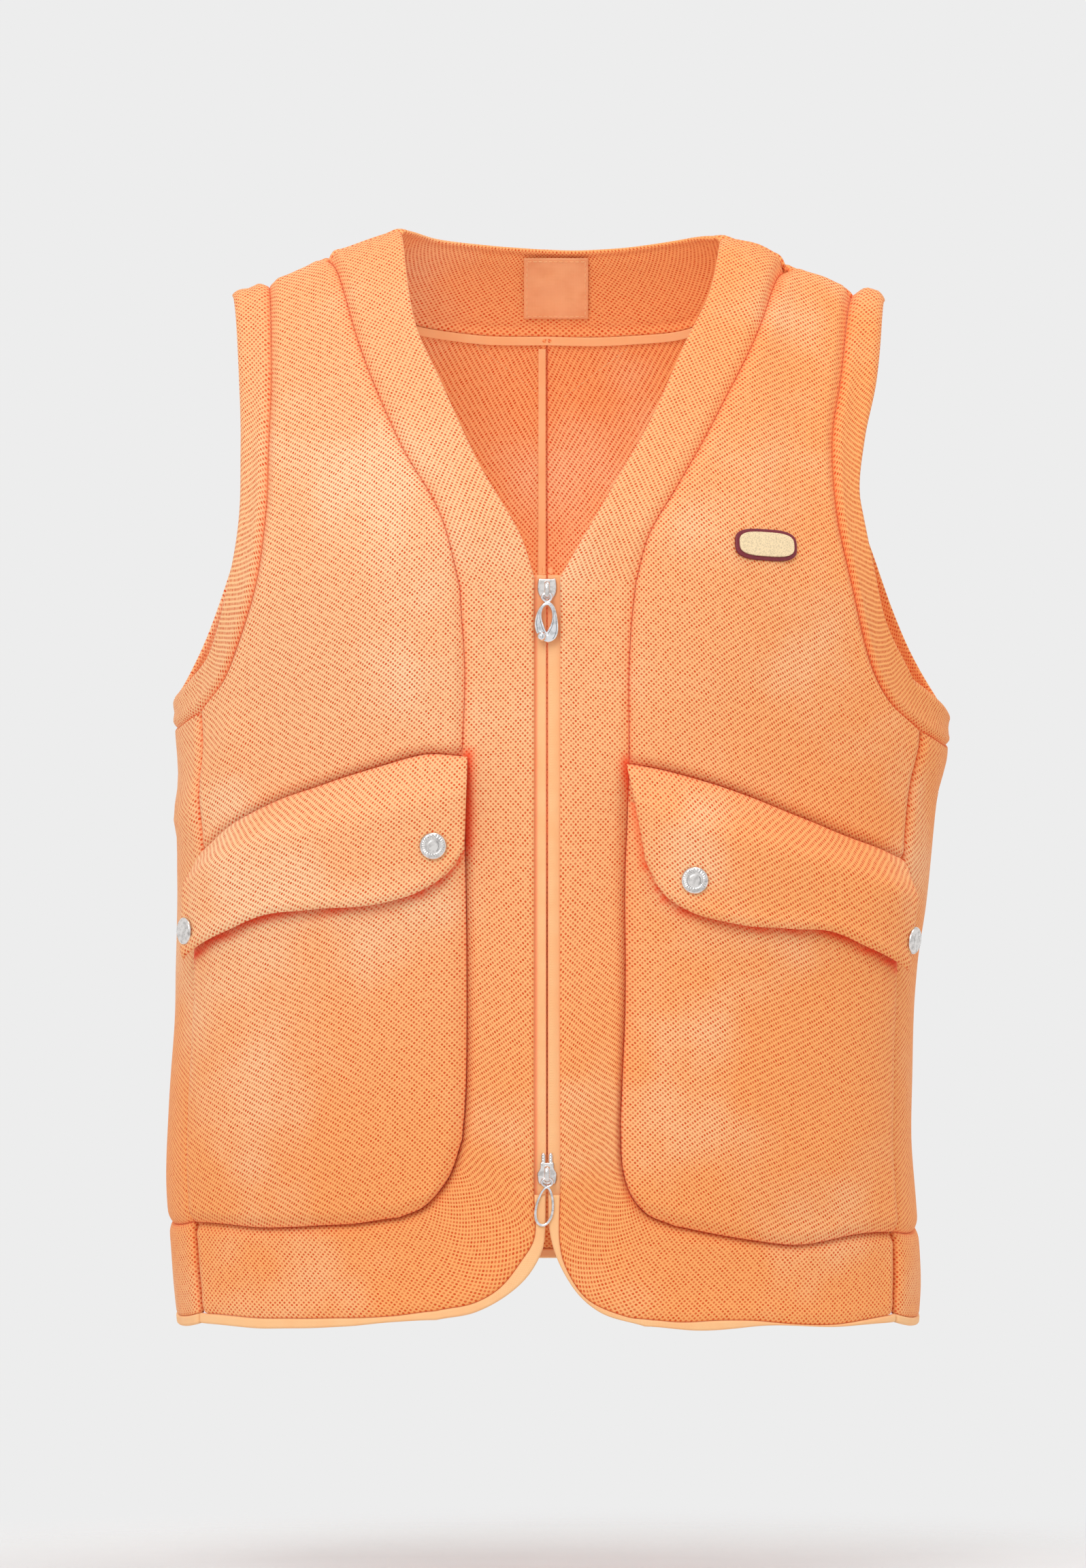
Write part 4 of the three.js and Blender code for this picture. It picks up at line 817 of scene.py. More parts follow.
def grid_faces(ids: Array) -> Array:
    """The four-cornered faces between the neighbours of a grid of point numbers."""
    corners = [ids[:-1, :-1], ids[:-1, 1:], ids[1:, 1:], ids[1:, :-1]]
    return np.stack(corners, axis=-1).reshape(-1, 4)


def sheet_mesh(name: str, draft: Draft, outer: Array, inner: Array, tone: Array) -> bpy.types.Object:
    """A closed sheet from its two skins, which share their points all round the edge."""
    rows, columns = outer.shape[:2]
    top = np.arange(rows * columns).reshape(rows, columns)
    under = top + rows * columns
    under[:, 0] = top[:, 0]
    under[:, -1] = top[:, -1]
    if draft.ring:
        top = np.vstack([top, top[:1]])
        under = np.vstack([under, under[:1]])
    else:
        under[0] = top[0]
        under[-1] = top[-1]
    outside = grid_faces(top)
    faces = np.concatenate([outside, grid_faces(under)[:, ::-1]])
    points = np.concatenate([outer.reshape(-1, 3), inner.reshape(-1, 3)])
    first = points[outside[:, 1]] - points[outside[:, 0]]
    second = points[outside[:, 2]] - points[outside[:, 1]]
    out = draft.out[:, :-1] if draft.ring else draft.out[:-1, :-1]
    if np.sum(np.cross(first, second) * out.reshape(-1, 3)) < 0:
        faces = faces[:, ::-1]
    used, numbers = np.unique(faces, return_inverse=True)
    weave = np.tile(draft.weave.reshape(-1, 2), (2, 1)) * MM
    painted_shades = np.tile(tone.reshape(-1), 2)
    faces = numbers.reshape(-1, 4).tolist()
    return make_mesh(name, points[used], faces, weave[used], painted_shades[used])


@dataclass(frozen=True)
class Axes:
    """A small flat patch: its middle and its directions across, up and out."""

    centre: Array
    across: Array
    up: Array
    out: Array

    @classmethod
    def facing(cls, centre: Array, out: Array, tilt: float = 0.0) -> "Axes":
        """Axes that face along out, level across, then tilted by some degrees."""
        level = unit(np.cross([0.0, 0.0, 1.0], out))
        upward = np.cross(out, level)
        turn = math.radians(tilt)
        across = level * math.cos(turn) + upward * math.sin(turn)
        return cls(centre, across, np.cross(out, across), out)

    def at(self, x: Array, y: Array, height: Array) -> Array:
        """The points at distances across, up and out."""
        sums = [np.asarray(d)[..., None] * axis
                for d, axis in ((x, self.across), (y, self.up), (height, self.out))]
        return self.centre + sums[0] + sums[1] + sums[2]


def outward_faces(points: Array, faces: list[list[int]]) -> list[list[int]]:
    """The faces of a closed mesh, turned round where its signed volume is below zero."""
    corners = np.array([[face[0], face[1], face[2], face[-1]] for face in faces])
    a, b, c, d = (points[corners[:, i]] for i in range(4))
    volume = np.einsum("ij,ij->", np.cross(a, b), c) + np.einsum("ij,ij->", np.cross(a, c), d)
    return [face[::-1] for face in faces] if volume < 0 else faces


def ringed(rings: Array, first: int = 0, closed: bool = False) -> tuple[Array, list[list[int]]]:
    """Points and faces from rings of points.

    Each ring joins the next. Open rows of rings end in one point each, the mean of the first
    and of the last ring, so they should shrink there. A closed row joins its last ring to its
    first.

    Args:
        rings: Points, as rings of sides.
        first: The number that the first point gets.
        closed: Whether the last ring joins the first.

    Returns:
        The points and the faces.
    """
    count, sides = rings.shape[:2]
    ids = np.arange(count * sides).reshape(count, sides)
    ids = np.hstack([ids, ids[:, :1]])
    if closed:
        faces = grid_faces(np.vstack([ids, ids[:1]])).tolist()
        points = rings.reshape(-1, 3)
    else:
        poles = count * sides
        start = [[poles, b, a] for a, b in zip(ids[0, :-1].tolist(), ids[0, 1:].tolist())]
        end = [[poles + 1, a, b] for a, b in zip(ids[-1, :-1].tolist(), ids[-1, 1:].tolist())]
        faces = grid_faces(ids).tolist() + start + end
        points = np.vstack([rings.reshape(-1, 3), rings[0].mean(axis=0), rings[-1].mean(axis=0)])
    turned = outward_faces(points, faces)
    return points, [[i + first for i in face] for face in turned]


def bodies(name: str, *shells: tuple[Array, bool]) -> bpy.types.Object:
    """One piece made of several closed shells, each given as rings and whether they close."""
    points: list[Array] = []
    faces: list[list[int]] = []
    for rings, closed in shells:
        count = sum(len(part) for part in points)
        some, more = ringed(rings, count, closed)
        points.append(some)
        faces.extend(more)
    return make_mesh(name, np.concatenate(points), faces)


def tube(path: Array, wide: Array, thick: Array, reference: Array, sides: int = 18,
         closed: bool = False) -> Array:
    """Rings of an oval tube along a path.

    Each ring is the path's point, plus wide times cos along the direction square to the path
    and to the reference, plus thick times sin along the third direction.

    Args:
        path: The points along the middle.
        wide: Half the width at each point, square to the reference.
        thick: Half the thickness at each point, along the reference.
        reference: A direction that the path is never along.
        sides: The number of sides.
        closed: Whether the path joins up.

    Returns:
        The rings.
    """
    ahead = np.roll(path, -1, axis=0) - np.roll(path, 1, axis=0) if closed else np.gradient(path, axis=0)
    tangent = unit(ahead)
    across = unit(np.cross(tangent, reference))
    third = np.cross(across, tangent)
    turn = circle(sides)
    w = np.broadcast_to(wide, len(path))[:, None, None]
    t = np.broadcast_to(thick, len(path))[:, None, None]
    ring = w * np.cos(turn)[None, :, None] * across[:, None]
    return path[:, None] + ring + t * np.sin(turn)[None, :, None] * third[:, None]


def round_ended(path: Array, radius: float, reference: Array, sides: int = 8) -> Array:
    """Rings of a round tube whose ends close in a half circle."""
    length = lengths(path)
    reach = np.minimum(length, length[-1] - length) / radius
    size = radius * np.sqrt(np.maximum(1 - (1 - np.clip(reach, 0, 1)) ** 2, 1e-4))
    return tube(path, size, size, reference, sides)


def rounded(outline: Iterable[tuple[float, float]], steps: int = 6) -> Array:
    """A closed outline with its corners rounded, as a closed uniform Catmull-Rom curve."""
    knots = np.array(list(outline), float)
    p0, p1 = np.roll(knots, 1, axis=0), knots
    p2, p3 = np.roll(knots, -1, axis=0), np.roll(knots, -2, axis=0)
    s = np.linspace(0, 1, steps, endpoint=False)[:, None, None]
    curve = 2 * p1 + s * (p2 - p0) + s**2 * (2 * p0 - 5 * p1 + 4 * p2 - p3)
    curve = 0.5 * (curve + s**3 * (3 * p1 - p0 - 3 * p2 + p3))
    return curve.transpose(1, 0, 2).reshape(-1, 2)


def plate(outline: Array, front_y: float, back_y: float, centre_z: float, round_off: float) -> Array:
    """Rings of a plate across Y. Its outline shrinks as a quarter circle at each face."""
    turn = np.linspace(0, np.pi / 2, 5)
    inset = round_off * (1 - np.sin(turn))
    size = np.abs(outline).max()
    edge = 1 - inset / size
    shares = np.concatenate([[0.02, 0.45, 0.75], edge, edge[::-1], [0.75, 0.45, 0.02]])
    depth = round_off * np.cos(turn)
    fore = front_y + round_off - depth
    rear = back_y - round_off + depth
    ys = np.concatenate([np.full(3, front_y), fore, rear[::-1], np.full(3, back_y)])
    middle = outline.mean(axis=0)
    flat = middle + (outline - middle)[None] * shares[:, None, None]
    y = np.broadcast_to(ys[:, None], flat.shape[:2])
    return np.stack([flat[..., 0], y, centre_z + flat[..., 1]], axis=-1)


# ------------------------------------------------------------------------- finishes
def linear(colour: Colour) -> tuple[float, float, float, float]:
    """A display colour from 0 to 255, as linear light with full cover."""
    share = np.array(colour) / 255.0
    light = np.where(share <= 0.04045, share / 12.92, ((share + 0.055) / 1.055) ** 2.4)
    return (*light.tolist(), 1.0)


class Shader:
    """A material under construction, with short names for the nodes that the finishes use."""

    def __init__(self, name: str) -> None:
        """Starts a material with one principled surface."""
        self.material = bpy.data.materials.new(name)
        self.material.use_nodes = True
        self.tree = self.material.node_tree
        self.surface = self.tree.nodes["Principled BSDF"]

    def node(self, kind: str, **settings: object) -> bpy.types.Node:
        """A new node with some of its settings."""
        made = self.tree.nodes.new(kind)
        for key, value in settings.items():
            setattr(made, key, value)
        return made

    def put(self, socket: bpy.types.NodeSocket, value: object) -> None:
        """Links a socket to another, or sets its number or colour."""
        if isinstance(value, bpy.types.NodeSocket):
            self.tree.links.new(value, socket)
        else:
            socket.default_value = value

    def maths(self, operation: str, first: object, second: object = 0.0) -> bpy.types.NodeSocket:
        """One sum of two numbers."""
        made = self.node("ShaderNodeMath", operation=operation)
        self.put(made.inputs[0], first)
        self.put(made.inputs[1], second)
        return made.outputs[0]

    def blend(self, share: object, first: object, second: object) -> bpy.types.NodeSocket:
        """A colour between two, by a share. Each is a display colour or a socket."""
        made = self.node("ShaderNodeMix", data_type="RGBA")
        self.put(made.inputs[0], share)
        for socket, colour in ((made.inputs[6], first), (made.inputs[7], second)):
            self.put(socket, linear(colour) if isinstance(colour, tuple) else colour)
        return made.outputs[2]

    def tone(self) -> bpy.types.NodeSocket:
        """Each point's painted shade, from 0 to 1."""
        return self.node("ShaderNodeAttribute", attribute_name="tone").outputs["Fac"]

    def spread(self, value: object, low: float, high: float, first: float = 0.0,
               last: float = 1.0) -> bpy.types.NodeSocket:
        """A number eased from first to last as the value goes from low to high."""
        made = self.node("ShaderNodeMapRange", interpolation_type="SMOOTHSTEP")
        for socket, number in zip(made.inputs, (value, low, high, first, last)):
            self.put(socket, number)
        return made.outputs[0]

    def noise(self, place: object, scale: float, detail: float = 2.0) -> bpy.types.NodeSocket:
        """Soft noise from 0 to 1, with so many features to the metre."""
        made = self.node("ShaderNodeTexNoise")
        self.put(made.inputs["Vector"], place)
        made.inputs["Scale"].default_value = scale
        made.inputs["Detail"].default_value = detail
        return made.outputs[0]

    def weave(self) -> bpy.types.NodeSocket:
        """The place along the yarns, in metres."""
        return self.node("ShaderNodeUVMap", uv_map="weave").outputs[0]

    def place(self) -> bpy.types.NodeSocket:
        """The place in the piece, in metres."""
        return self.node("ShaderNodeTexCoord").outputs["Object"]

    def parts(self, vector: object) -> tuple[bpy.types.NodeSocket, bpy.types.NodeSocket]:
        """The first two numbers of a vector."""
        made = self.node("ShaderNodeSeparateXYZ")
        self.put(made.inputs[0], vector)
        return made.outputs[0], made.outputs[1]

    def ribs(self, along: object, spacing: float) -> bpy.types.NodeSocket:
        """The cosine of a length, with a wave for each spacing in millimetres."""
        return self.maths("COSINE", self.maths("MULTIPLY", along, 2 * math.pi / (spacing * MM)))

    def bump(self, height: object, strength: float, depth: float) -> None:
        """Raises the surface by a height from 0 to 1 times a depth in millimetres."""
        made = self.node("ShaderNodeBump")
        made.inputs["Strength"].default_value = strength
        made.inputs["Distance"].default_value = depth * MM
        self.put(made.inputs["Height"], height)
        self.put(self.surface.inputs["Normal"], made.outputs[0])

    def finish(self, **values: object) -> bpy.types.Material:
        """Sets the surface's own sockets by name, with spaces for underscores."""
        for key, value in values.items():
            self.put(self.surface.inputs[key.replace("_", " ")], value)
        return self.material


class Finish:
    """A material and the record's slot that it stands for."""

    slot: str = ""

    def __init__(self) -> None:
        """Makes the material."""
        self.material = self.shade(Shader(self.slot))

    def shade(self, shader: Shader) -> bpy.types.Material:
        """Builds the nodes. Each finish has its own."""
        raise NotImplementedError

    def put_on(self, piece: bpy.types.Object) -> None:
        """Gives a new piece this finish."""
        piece.data.materials.append(self.material)

    def put_on_node(self, name: str) -> None:
        """Gives a frame node this finish."""
        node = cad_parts[name]
        for slot in node.material_slots:
            slot.material = self.material


class SpacerMesh(Finish):
    """Thick knit with diamond holes, paler in random patches and in a painted highlight on the wearer's
    right chest, and deep orange where painted shade lies in its seams and beside and under the flaps.

    The net is the size of the sum of two cosines of the lengths along the yarns, which is
    largest at the holes.
    """

    slot = "spacer_mesh"
    yarn: Colour = (255, 174, 104)
    hole: Colour = (224, 80, 30)
    # The pale colour of the random patches and of the painted highlight on the chest.
    pale_patch_and_highlight: Colour = (255, 212, 164)
    # deep: the colour of the painted shade in the seams and beside and under the flaps
    deep: Colour = (255, 75, 32)
    # The middle of the painted highlight on the wearer's right chest, in metres.
    highlight_centre: tuple[float, float, float] = (-0.11, -0.1, -0.2)
    wale: float = 2.67
    course: float = 2.83

    def shade(self, shader: Shader) -> bpy.types.Material:
        """Builds the nodes."""
        weave = shader.weave()
        wander = shader.node("ShaderNodeVectorMath", operation="MULTIPLY_ADD")
        noise = shader.node("ShaderNodeTexNoise")
        noise.inputs["Scale"].default_value = 55.0
        shader.put(noise.inputs["Vector"], weave)
        shader.put(wander.inputs[0], noise.outputs["Color"])
        wander.inputs[1].default_value = (0.0011, 0.0011, 0.0)
        shader.put(wander.inputs[2], weave)
        across, along = shader.parts(wander.outputs[0])
        both = shader.maths("ADD", shader.ribs(across, self.wale), shader.ribs(along, self.course))
        net = shader.maths("MULTIPLY", shader.maths("ABSOLUTE", both), 0.5)
        uneven = shader.spread(shader.noise(weave, 300.0, 1.0), 0.3, 0.7, 0.55, 1.0)
        hole = shader.maths("MULTIPLY", shader.spread(net, 0.36, 0.8), uneven)
        place = shader.place()
        patches = shader.spread(shader.noise(place, 9.0, 3.0), 0.48, 0.72, 0.0, 0.6)
        # Painted highlight: paler round one spot on the wearer's right chest, where the light falls on
        # the bust.
        away = shader.node("ShaderNodeVectorMath", operation="DISTANCE")
        shader.put(away.inputs[0], place)
        away.inputs[1].default_value = self.highlight_centre
        painted_highlight = shader.spread(away.outputs["Value"], 0.03, 0.34, 0.62, 0.0)
        # Paler in random patches, plus the painted highlight on the chest.
        worn = shader.maths("ADD", patches, painted_highlight)
        yarn = shader.blend(worn, self.yarn, self.pale_patch_and_highlight)
        cloth = shader.blend(hole, yarn, self.hole)
        # Painted shade: the cloth is mixed towards the deep orange by each point's painted shade.
        colour = shader.blend(shader.tone(), cloth, self.deep)
        fuzz = shader.maths("MULTIPLY", shader.noise(weave, 2200.0), 0.25)
        shader.bump(shader.maths("SUBTRACT", fuzz, hole), 0.7, 0.45)
        return shader.finish(Base_Color=colour, Roughness=0.88, Sheen_Weight=0.08,
                             Sheen_Roughness=0.5, Specular_IOR_Level=0.2)


class WovenTape(Finish):
    """Plain narrow tape, with fine ribs across it."""

    slot = "woven_tape"
    crest: Colour = (255, 216, 162)
    hollow: Colour = (255, 182, 122)
    # deep: the colour of the painted shade on the zip tapes
    deep: Colour = (255, 75, 32)

    def shade(self, shader: Shader) -> bpy.types.Material:
        """Builds the nodes."""
        weave = shader.weave()
        across, along = shader.parts(weave)
        ribs = shader.maths("MULTIPLY", shader.ribs(across, 0.9), shader.ribs(along, 0.7))
        raised = shader.spread(ribs, -0.8, 0.8)
        patchy = shader.spread(shader.noise(shader.place(), 60.0), 0.3, 0.7, 0.6, 1.0)
        cloth = shader.blend(shader.maths("MULTIPLY", raised, patchy), self.hollow, self.crest)
        # Painted shade: the cloth is mixed towards the deep orange by each point's painted shade.
        colour = shader.blend(shader.tone(), cloth, self.deep)
        shader.bump(raised, 0.5, 0.15)
        return shader.finish(Base_Color=colour, Roughness=0.8, Sheen_Weight=0.05,
                             Specular_IOR_Level=0.25)


class ZipCoil(Finish):
    """Dyed nylon coil, slightly glossy."""

    slot = "zip_coil"

    def shade(self, shader: Shader) -> bpy.types.Material:
        """Builds the nodes."""
        speck = shader.noise(shader.place(), 900.0)
        colour = shader.blend(speck, (246, 150, 90), (255, 176, 116))
        shader.bump(speck, 0.2, 0.05)
        return shader.finish(Base_Color=colour, Roughness=0.45)


class LabelCloth(Finish):
    """Blank satin label."""

    slot = "label_cloth"

    def shade(self, shader: Shader) -> bpy.types.Material:
        """Builds the nodes."""
        across, along = shader.parts(shader.weave())
        raised = shader.spread(shader.maths("ADD", shader.ribs(across, 0.5), shader.ribs(along, 0.8)),
                               -1.6, 1.6)
        stain = shader.spread(shader.noise(shader.place(), 70.0, 3.0), 0.35, 0.75)
        base = shader.blend(stain, (243, 172, 116), (232, 150, 92))
        colour = shader.blend(shader.maths("MULTIPLY", raised, 0.35), base, (255, 206, 156))
        shader.bump(raised, 0.3, 0.06)
        return shader.finish(Base_Color=colour, Roughness=0.55, Sheen_Weight=0.1)


class Metal(Finish):
    """Bare or plated metal, with fine scuffs."""

    colour: Colour = (236, 232, 229)
    rough: tuple[float, float] = (0.14, 0.3)
    scuff: float = 0.25

    def shade(self, shader: Shader) -> bpy.types.Material:
        """Builds the nodes."""
        place = shader.place()
        cloud = shader.noise(place, 420.0, 4.0)
        dull = tuple(0.82 * part for part in self.colour)
        colour = shader.blend(shader.spread(cloud, 0.4, 0.75), self.colour, dull)
        shader.bump(shader.noise(place, 1500.0, 3.0), self.scuff, 0.03)
        return shader.finish(Base_Color=colour, Metallic=1.0,
                             Roughness=shader.spread(cloud, 0.3, 0.7, *self.rough))


class PlatedMetal(Metal):
    """Satin nickel plate, on the snaps and the sliders."""

    slot = "plated_metal"


class PolishedMetal(Metal):
    """Bright plate, on the pulls."""

    slot = "polished_metal"
    colour = (240, 241, 244)
    rough = (0.06, 0.16)
    scuff = 0.12


class Moulding(Finish):
    """Soft matt moulding."""

    colour: Colour = (124, 32, 48)

    def shade(self, shader: Shader) -> bpy.types.Material:
        """Builds the nodes."""
        grain = shader.noise(shader.place(), 1400.0, 3.0)
        worn = tuple(0.86 * part for part in self.colour)
        colour = shader.blend(shader.spread(grain, 0.4, 0.7), self.colour, worn)
        shader.bump(grain, 0.35, 0.08)
        return shader.finish(Base_Color=colour, Roughness=0.5)


class BadgeRubber(Moulding):
    """The badge's dark red base and rim."""

    slot = "badge_rubber"


class BadgeFace(Moulding):
    """The badge's cream face."""

    slot = "badge_face"
    colour = (246, 220, 176)


@dataclass
class Finishes:
    """One of each finish."""

    mesh: Finish = field(default_factory=SpacerMesh)
    tape: Finish = field(default_factory=WovenTape)
    coil: Finish = field(default_factory=ZipCoil)
    label: Finish = field(default_factory=LabelCloth)
    plated: Finish = field(default_factory=PlatedMetal)
    polished: Finish = field(default_factory=PolishedMetal)
    rubber: Finish = field(default_factory=BadgeRubber)
    face: Finish = field(default_factory=BadgeFace)


# ------------------------------------------------------------------------- sewn pieces
def settle(piece: bpy.types.Object, finish: Finish, body: str, *nodes: str) -> bpy.types.Object:
    """Gives a piece its finish and its body, and hides the frame nodes that it stands for."""
    finish.put_on(piece)
    if nodes:
        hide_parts(*nodes)
    if body:
        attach(piece, body)
    log.info("%s: %d faces on %s", piece.name, len(piece.data.polygons), body or "two bodies")
    return piece


def declare(draft: Draft, thickness: float) -> None:
    """Works out the size of the cut cloth of a hung piece; nothing is done with it."""
    width, length, area = draft.flat_size(thickness)


@dataclass
class Sewing:
    """What the cloth pieces share: both half patterns, the hang and the finishes."""

    halves: dict[Side, HalfPattern]
    hang: Hang
    finishes: Finishes

    def sew(self, node: str, draft: Draft, cloth: Cloth, edges: Edges, lay: Array | float,
            finish: Finish, pinch: Array | float = 1.0, shade: Array | float = 0.0,
            body: str = "vest") -> bpy.types.Object:
        """Makes one sheet of cloth in place of its frame solid.

        Args:
            node: The frame node that it stands for.
            draft: Its points on the form.
            cloth: The kind of cloth.
            edges: What its edges are.
            lay: The height of its middle over the form.
            finish: Its finish.
            pinch: What the pinch at its seams is multiplied by.
            shade: Shade to add to that of the seams, from 0 to 1.
            body: The body that it rides on, or none where it crosses a joint.

        Returns:
            The piece.
        """
        middle = lay + self.hang.rise(draft.base) + self.hang.puff(draft.base, draft.out)
        outer, inner, seam = skins(draft, cloth, edges, middle, pinch)
        # Painted shade: that of the seams, and any shade that is given.
        tone = np.maximum(SEAM_SHADE * seam, shade)
        piece = sheet_mesh(f"{node}_cloth", draft, outer, inner, tone)
        declare(draft, cloth.thickness)
        return settle(piece, finish, body, node)


def nearness(draft: Draft, line: Array, reach: float) -> Array:
    """How close each point is to a line of points: a bell of the distance over the reach."""
    apart = np.linalg.norm(draft.base[:, :, None] - line[None, None], axis=-1)
    return np.exp(-((apart.min(axis=-1) / reach) ** 2))


def ridge_share(draft: Draft) -> Array:
    """How near each point is to the shoulder ridge, from 0 to 1."""
    return smooth((draft.base[..., 2] + 70.0) / 55.0)


@dataclass
class FrontPanels:
    """The chest panel and the lower panel of one side, which meet at the flap seam."""

    sewing: Sewing
    side: Side
    ridge_pinch: float = 0.6

    def build(self) -> None:
        """Makes both panels."""
        half = self.sewing.halves[self.side]
        outer = joined(half.arm_seam[: 10 * FINE + 1], half.side_seam)
        top = half.straight(half.band_seam[0], half.arm_seam[0], steps=(9,))
        rows = half.chest_rows
        chest = filled(half.band_seam[: rows + 1], outer[: rows + 1], top, half.flap_seam)
        lower = filled(half.band_seam[rows : half.panel_rows + 1], outer[rows:], half.flap_seam,
                       half.band_seam[half.panel_rows :])
        for name, places in (("chest", chest), ("lower", lower)):
            draft = Draft.on(half.form, places)
            pinch = 1 + self.ridge_pinch * ridge_share(draft)
            self.sewing.sew(f"{self.side.value}_{name}_panel", draft, PUFFED, Edges(),
                            -FABRIC / 2, self.sewing.finishes.mesh, pinch)


@dataclass
class FrontBand:
    """The wide band from the shoulder down the zip and round the hem corner, and its binding."""

    sewing: Sewing
    side: Side
    ridge_pinch: float = 0.6
    # How deep and how wide the painted shade beside the flap's inner end is.
    flap_shade: float = 0.9
    flap_shade_reach: float = 3.6

    def build(self) -> None:
        """Makes the band and the binding. Beside the flap's end the band is painted with shade."""
        half = self.sewing.halves[self.side]
        finishes = self.sewing.finishes
        places = strip(half.inner_edge, half.band_seam, edged(26 * FINE), edged(9))
        draft = Draft.on(half.form, places).along_strip()
        # Painted shade on the band beside the flap's inner end, which the flap shades.
        ends = (half.line("flap_top", 7)[0], half.line("flap_bottom", 7)[0])
        flap_end = half.form.point(half.straight(*ends, steps=(9,)))
        flap_shade = self.flap_shade * nearness(draft, flap_end, self.flap_shade_reach)
        self.sewing.sew(f"{self.side.value}_front_band", draft, PUFFED, Edges(start=Edge.FOLD),
                        -FABRIC / 2, finishes.mesh, 1 + self.ridge_pinch * ridge_share(draft),
                        flap_shade)
        places = strip(half.hem_line(), half.hem_edge, edged(11 * FINE), edged(3))
        draft = Draft.on(half.form, places).along_strip()
        self.sewing.sew(f"{self.side.value}_hem_binding", draft, BOUND, ALL_FLAT,
                        BINDING_RISE - BOUND.thickness / 2, finishes.tape)


@dataclass
class ArmholeBand:
    """The folded band round one armhole."""

    sewing: Sewing
    side: Side
    ridge_pinch: float = 0.6

    def build(self) -> None:
        """Makes the band as a ring."""
        half = self.sewing.halves[self.side]
        along = np.linspace(0.0, 1.0, 22 * FINE + 1)
        places = strip(half.arm_seam, half.arm_edge, along, edged(6))[:-1]
        draft = Draft.on(half.form, places, ring=True).along_strip()
        edges = Edges(top=Edge.NONE, bottom=Edge.NONE, end=Edge.FOLD)
        self.sewing.sew(f"{self.side.value}_armhole_band", draft, ROLLED, edges, -FABRIC / 2,
                        self.sewing.finishes.mesh, 1 + self.ridge_pinch * ridge_share(draft))


@dataclass
class Back:
    """The two back panels, the neck and hem bands, the binding and the tapes behind."""

    sewing: Sewing
    tape_drop: tuple[float, float] = (-1.0, 4.0)
    centre_tape: tuple[float, float, float, float] = (-5.0, -0.7, -62.0, -508.0)

    def panel(self, side: Side) -> None:
        """Makes one back panel."""
        half = self.sewing.halves[side]
        yoke = half.line("yoke_seam", 6)
        hem = half.line("back_hem_seam", 9)
        centre = half.straight(yoke[-1], hem[-1], steps=(19,))
        outer = joined(half.arm_seam[10 * FINE :][::-1], half.side_seam)
        top = joined(yoke[::-1], half.straight(yoke[0], half.arm_seam[-1], steps=(3,)))
        draft = Draft.on(half.form, filled(centre, outer, top, hem[::-1]))
        self.sewing.sew(f"{side.value}_back_panel", draft, SPACER, Edges(), -FABRIC / 2,
                        self.sewing.finishes.mesh)

    def across(self, first: str, second: str, steps: int, columns: int) -> Draft:
        """A strip between two lines of the back, from one side to the other."""
        drafts = []
        for side in Side:
            half = self.sewing.halves[side]
            places = strip(half.line(first, steps), half.line(second, steps),
                           np.linspace(0, 1, steps * FINE + 1), edged(columns))
            drafts.append(Draft.on(half.form, places))
        return drafts[0].across_to(drafts[1]).along_strip()

    def build(self) -> None:
        """Makes the panels, then the bands, then the tapes."""
        finishes = self.sewing.finishes
        for side in Side:
            self.panel(side)
        neck = self.across("neck_back", "yoke_seam", 6, 9)
        hem = self.across("back_hem_seam", "back_hem_edge", 9, 9)
        binding = self.across("back_hem_edge", "back_hem_bottom", 9, 3)
        binding_lay = BINDING_RISE - BOUND.thickness / 2
        sew = self.sewing.sew
        sew("back_neck_band", neck, ROLLED, Edges(start=Edge.FOLD), -FABRIC / 2, finishes.mesh)
        sew("back_hem_band", hem, SPACER, Edges(end=Edge.FOLD), -FABRIC / 2, finishes.mesh)
        sew("back_hem_binding", binding, BOUND, ALL_FLAT, binding_lay, finishes.tape)
        behind_cloth = -FABRIC - LIFT - TAPE.thickness / 2
        drafts = []
        for side in Side:
            half = self.sewing.halves[side]
            yoke = half.line("yoke_seam", 6)[3:]
            upper, lower = (half.lowered(yoke, drop) for drop in self.tape_drop)
            places = strip(upper, lower, np.linspace(0, 1, len(yoke)), edged(3))
            drafts.append(Draft.on(half.form, places))
        draft = drafts[0].across_to(drafts[1]).along_strip()
        sew("back_neck_tape", draft, TAPE, ALL_FLAT, behind_cloth, finishes.tape)
        left, right, top, bottom = self.centre_tape
        x, z = np.meshgrid(left + (right - left) * edged(3), top + (bottom - top) * edged(120))
        form = self.sewing.halves[Side.RIGHT].form
        draft = Draft.on(form, form.on_back(x, z)).along_strip()
        sew("centre_back_tape", draft, TAPE, ALL_FLAT, behind_cloth, finishes.tape)


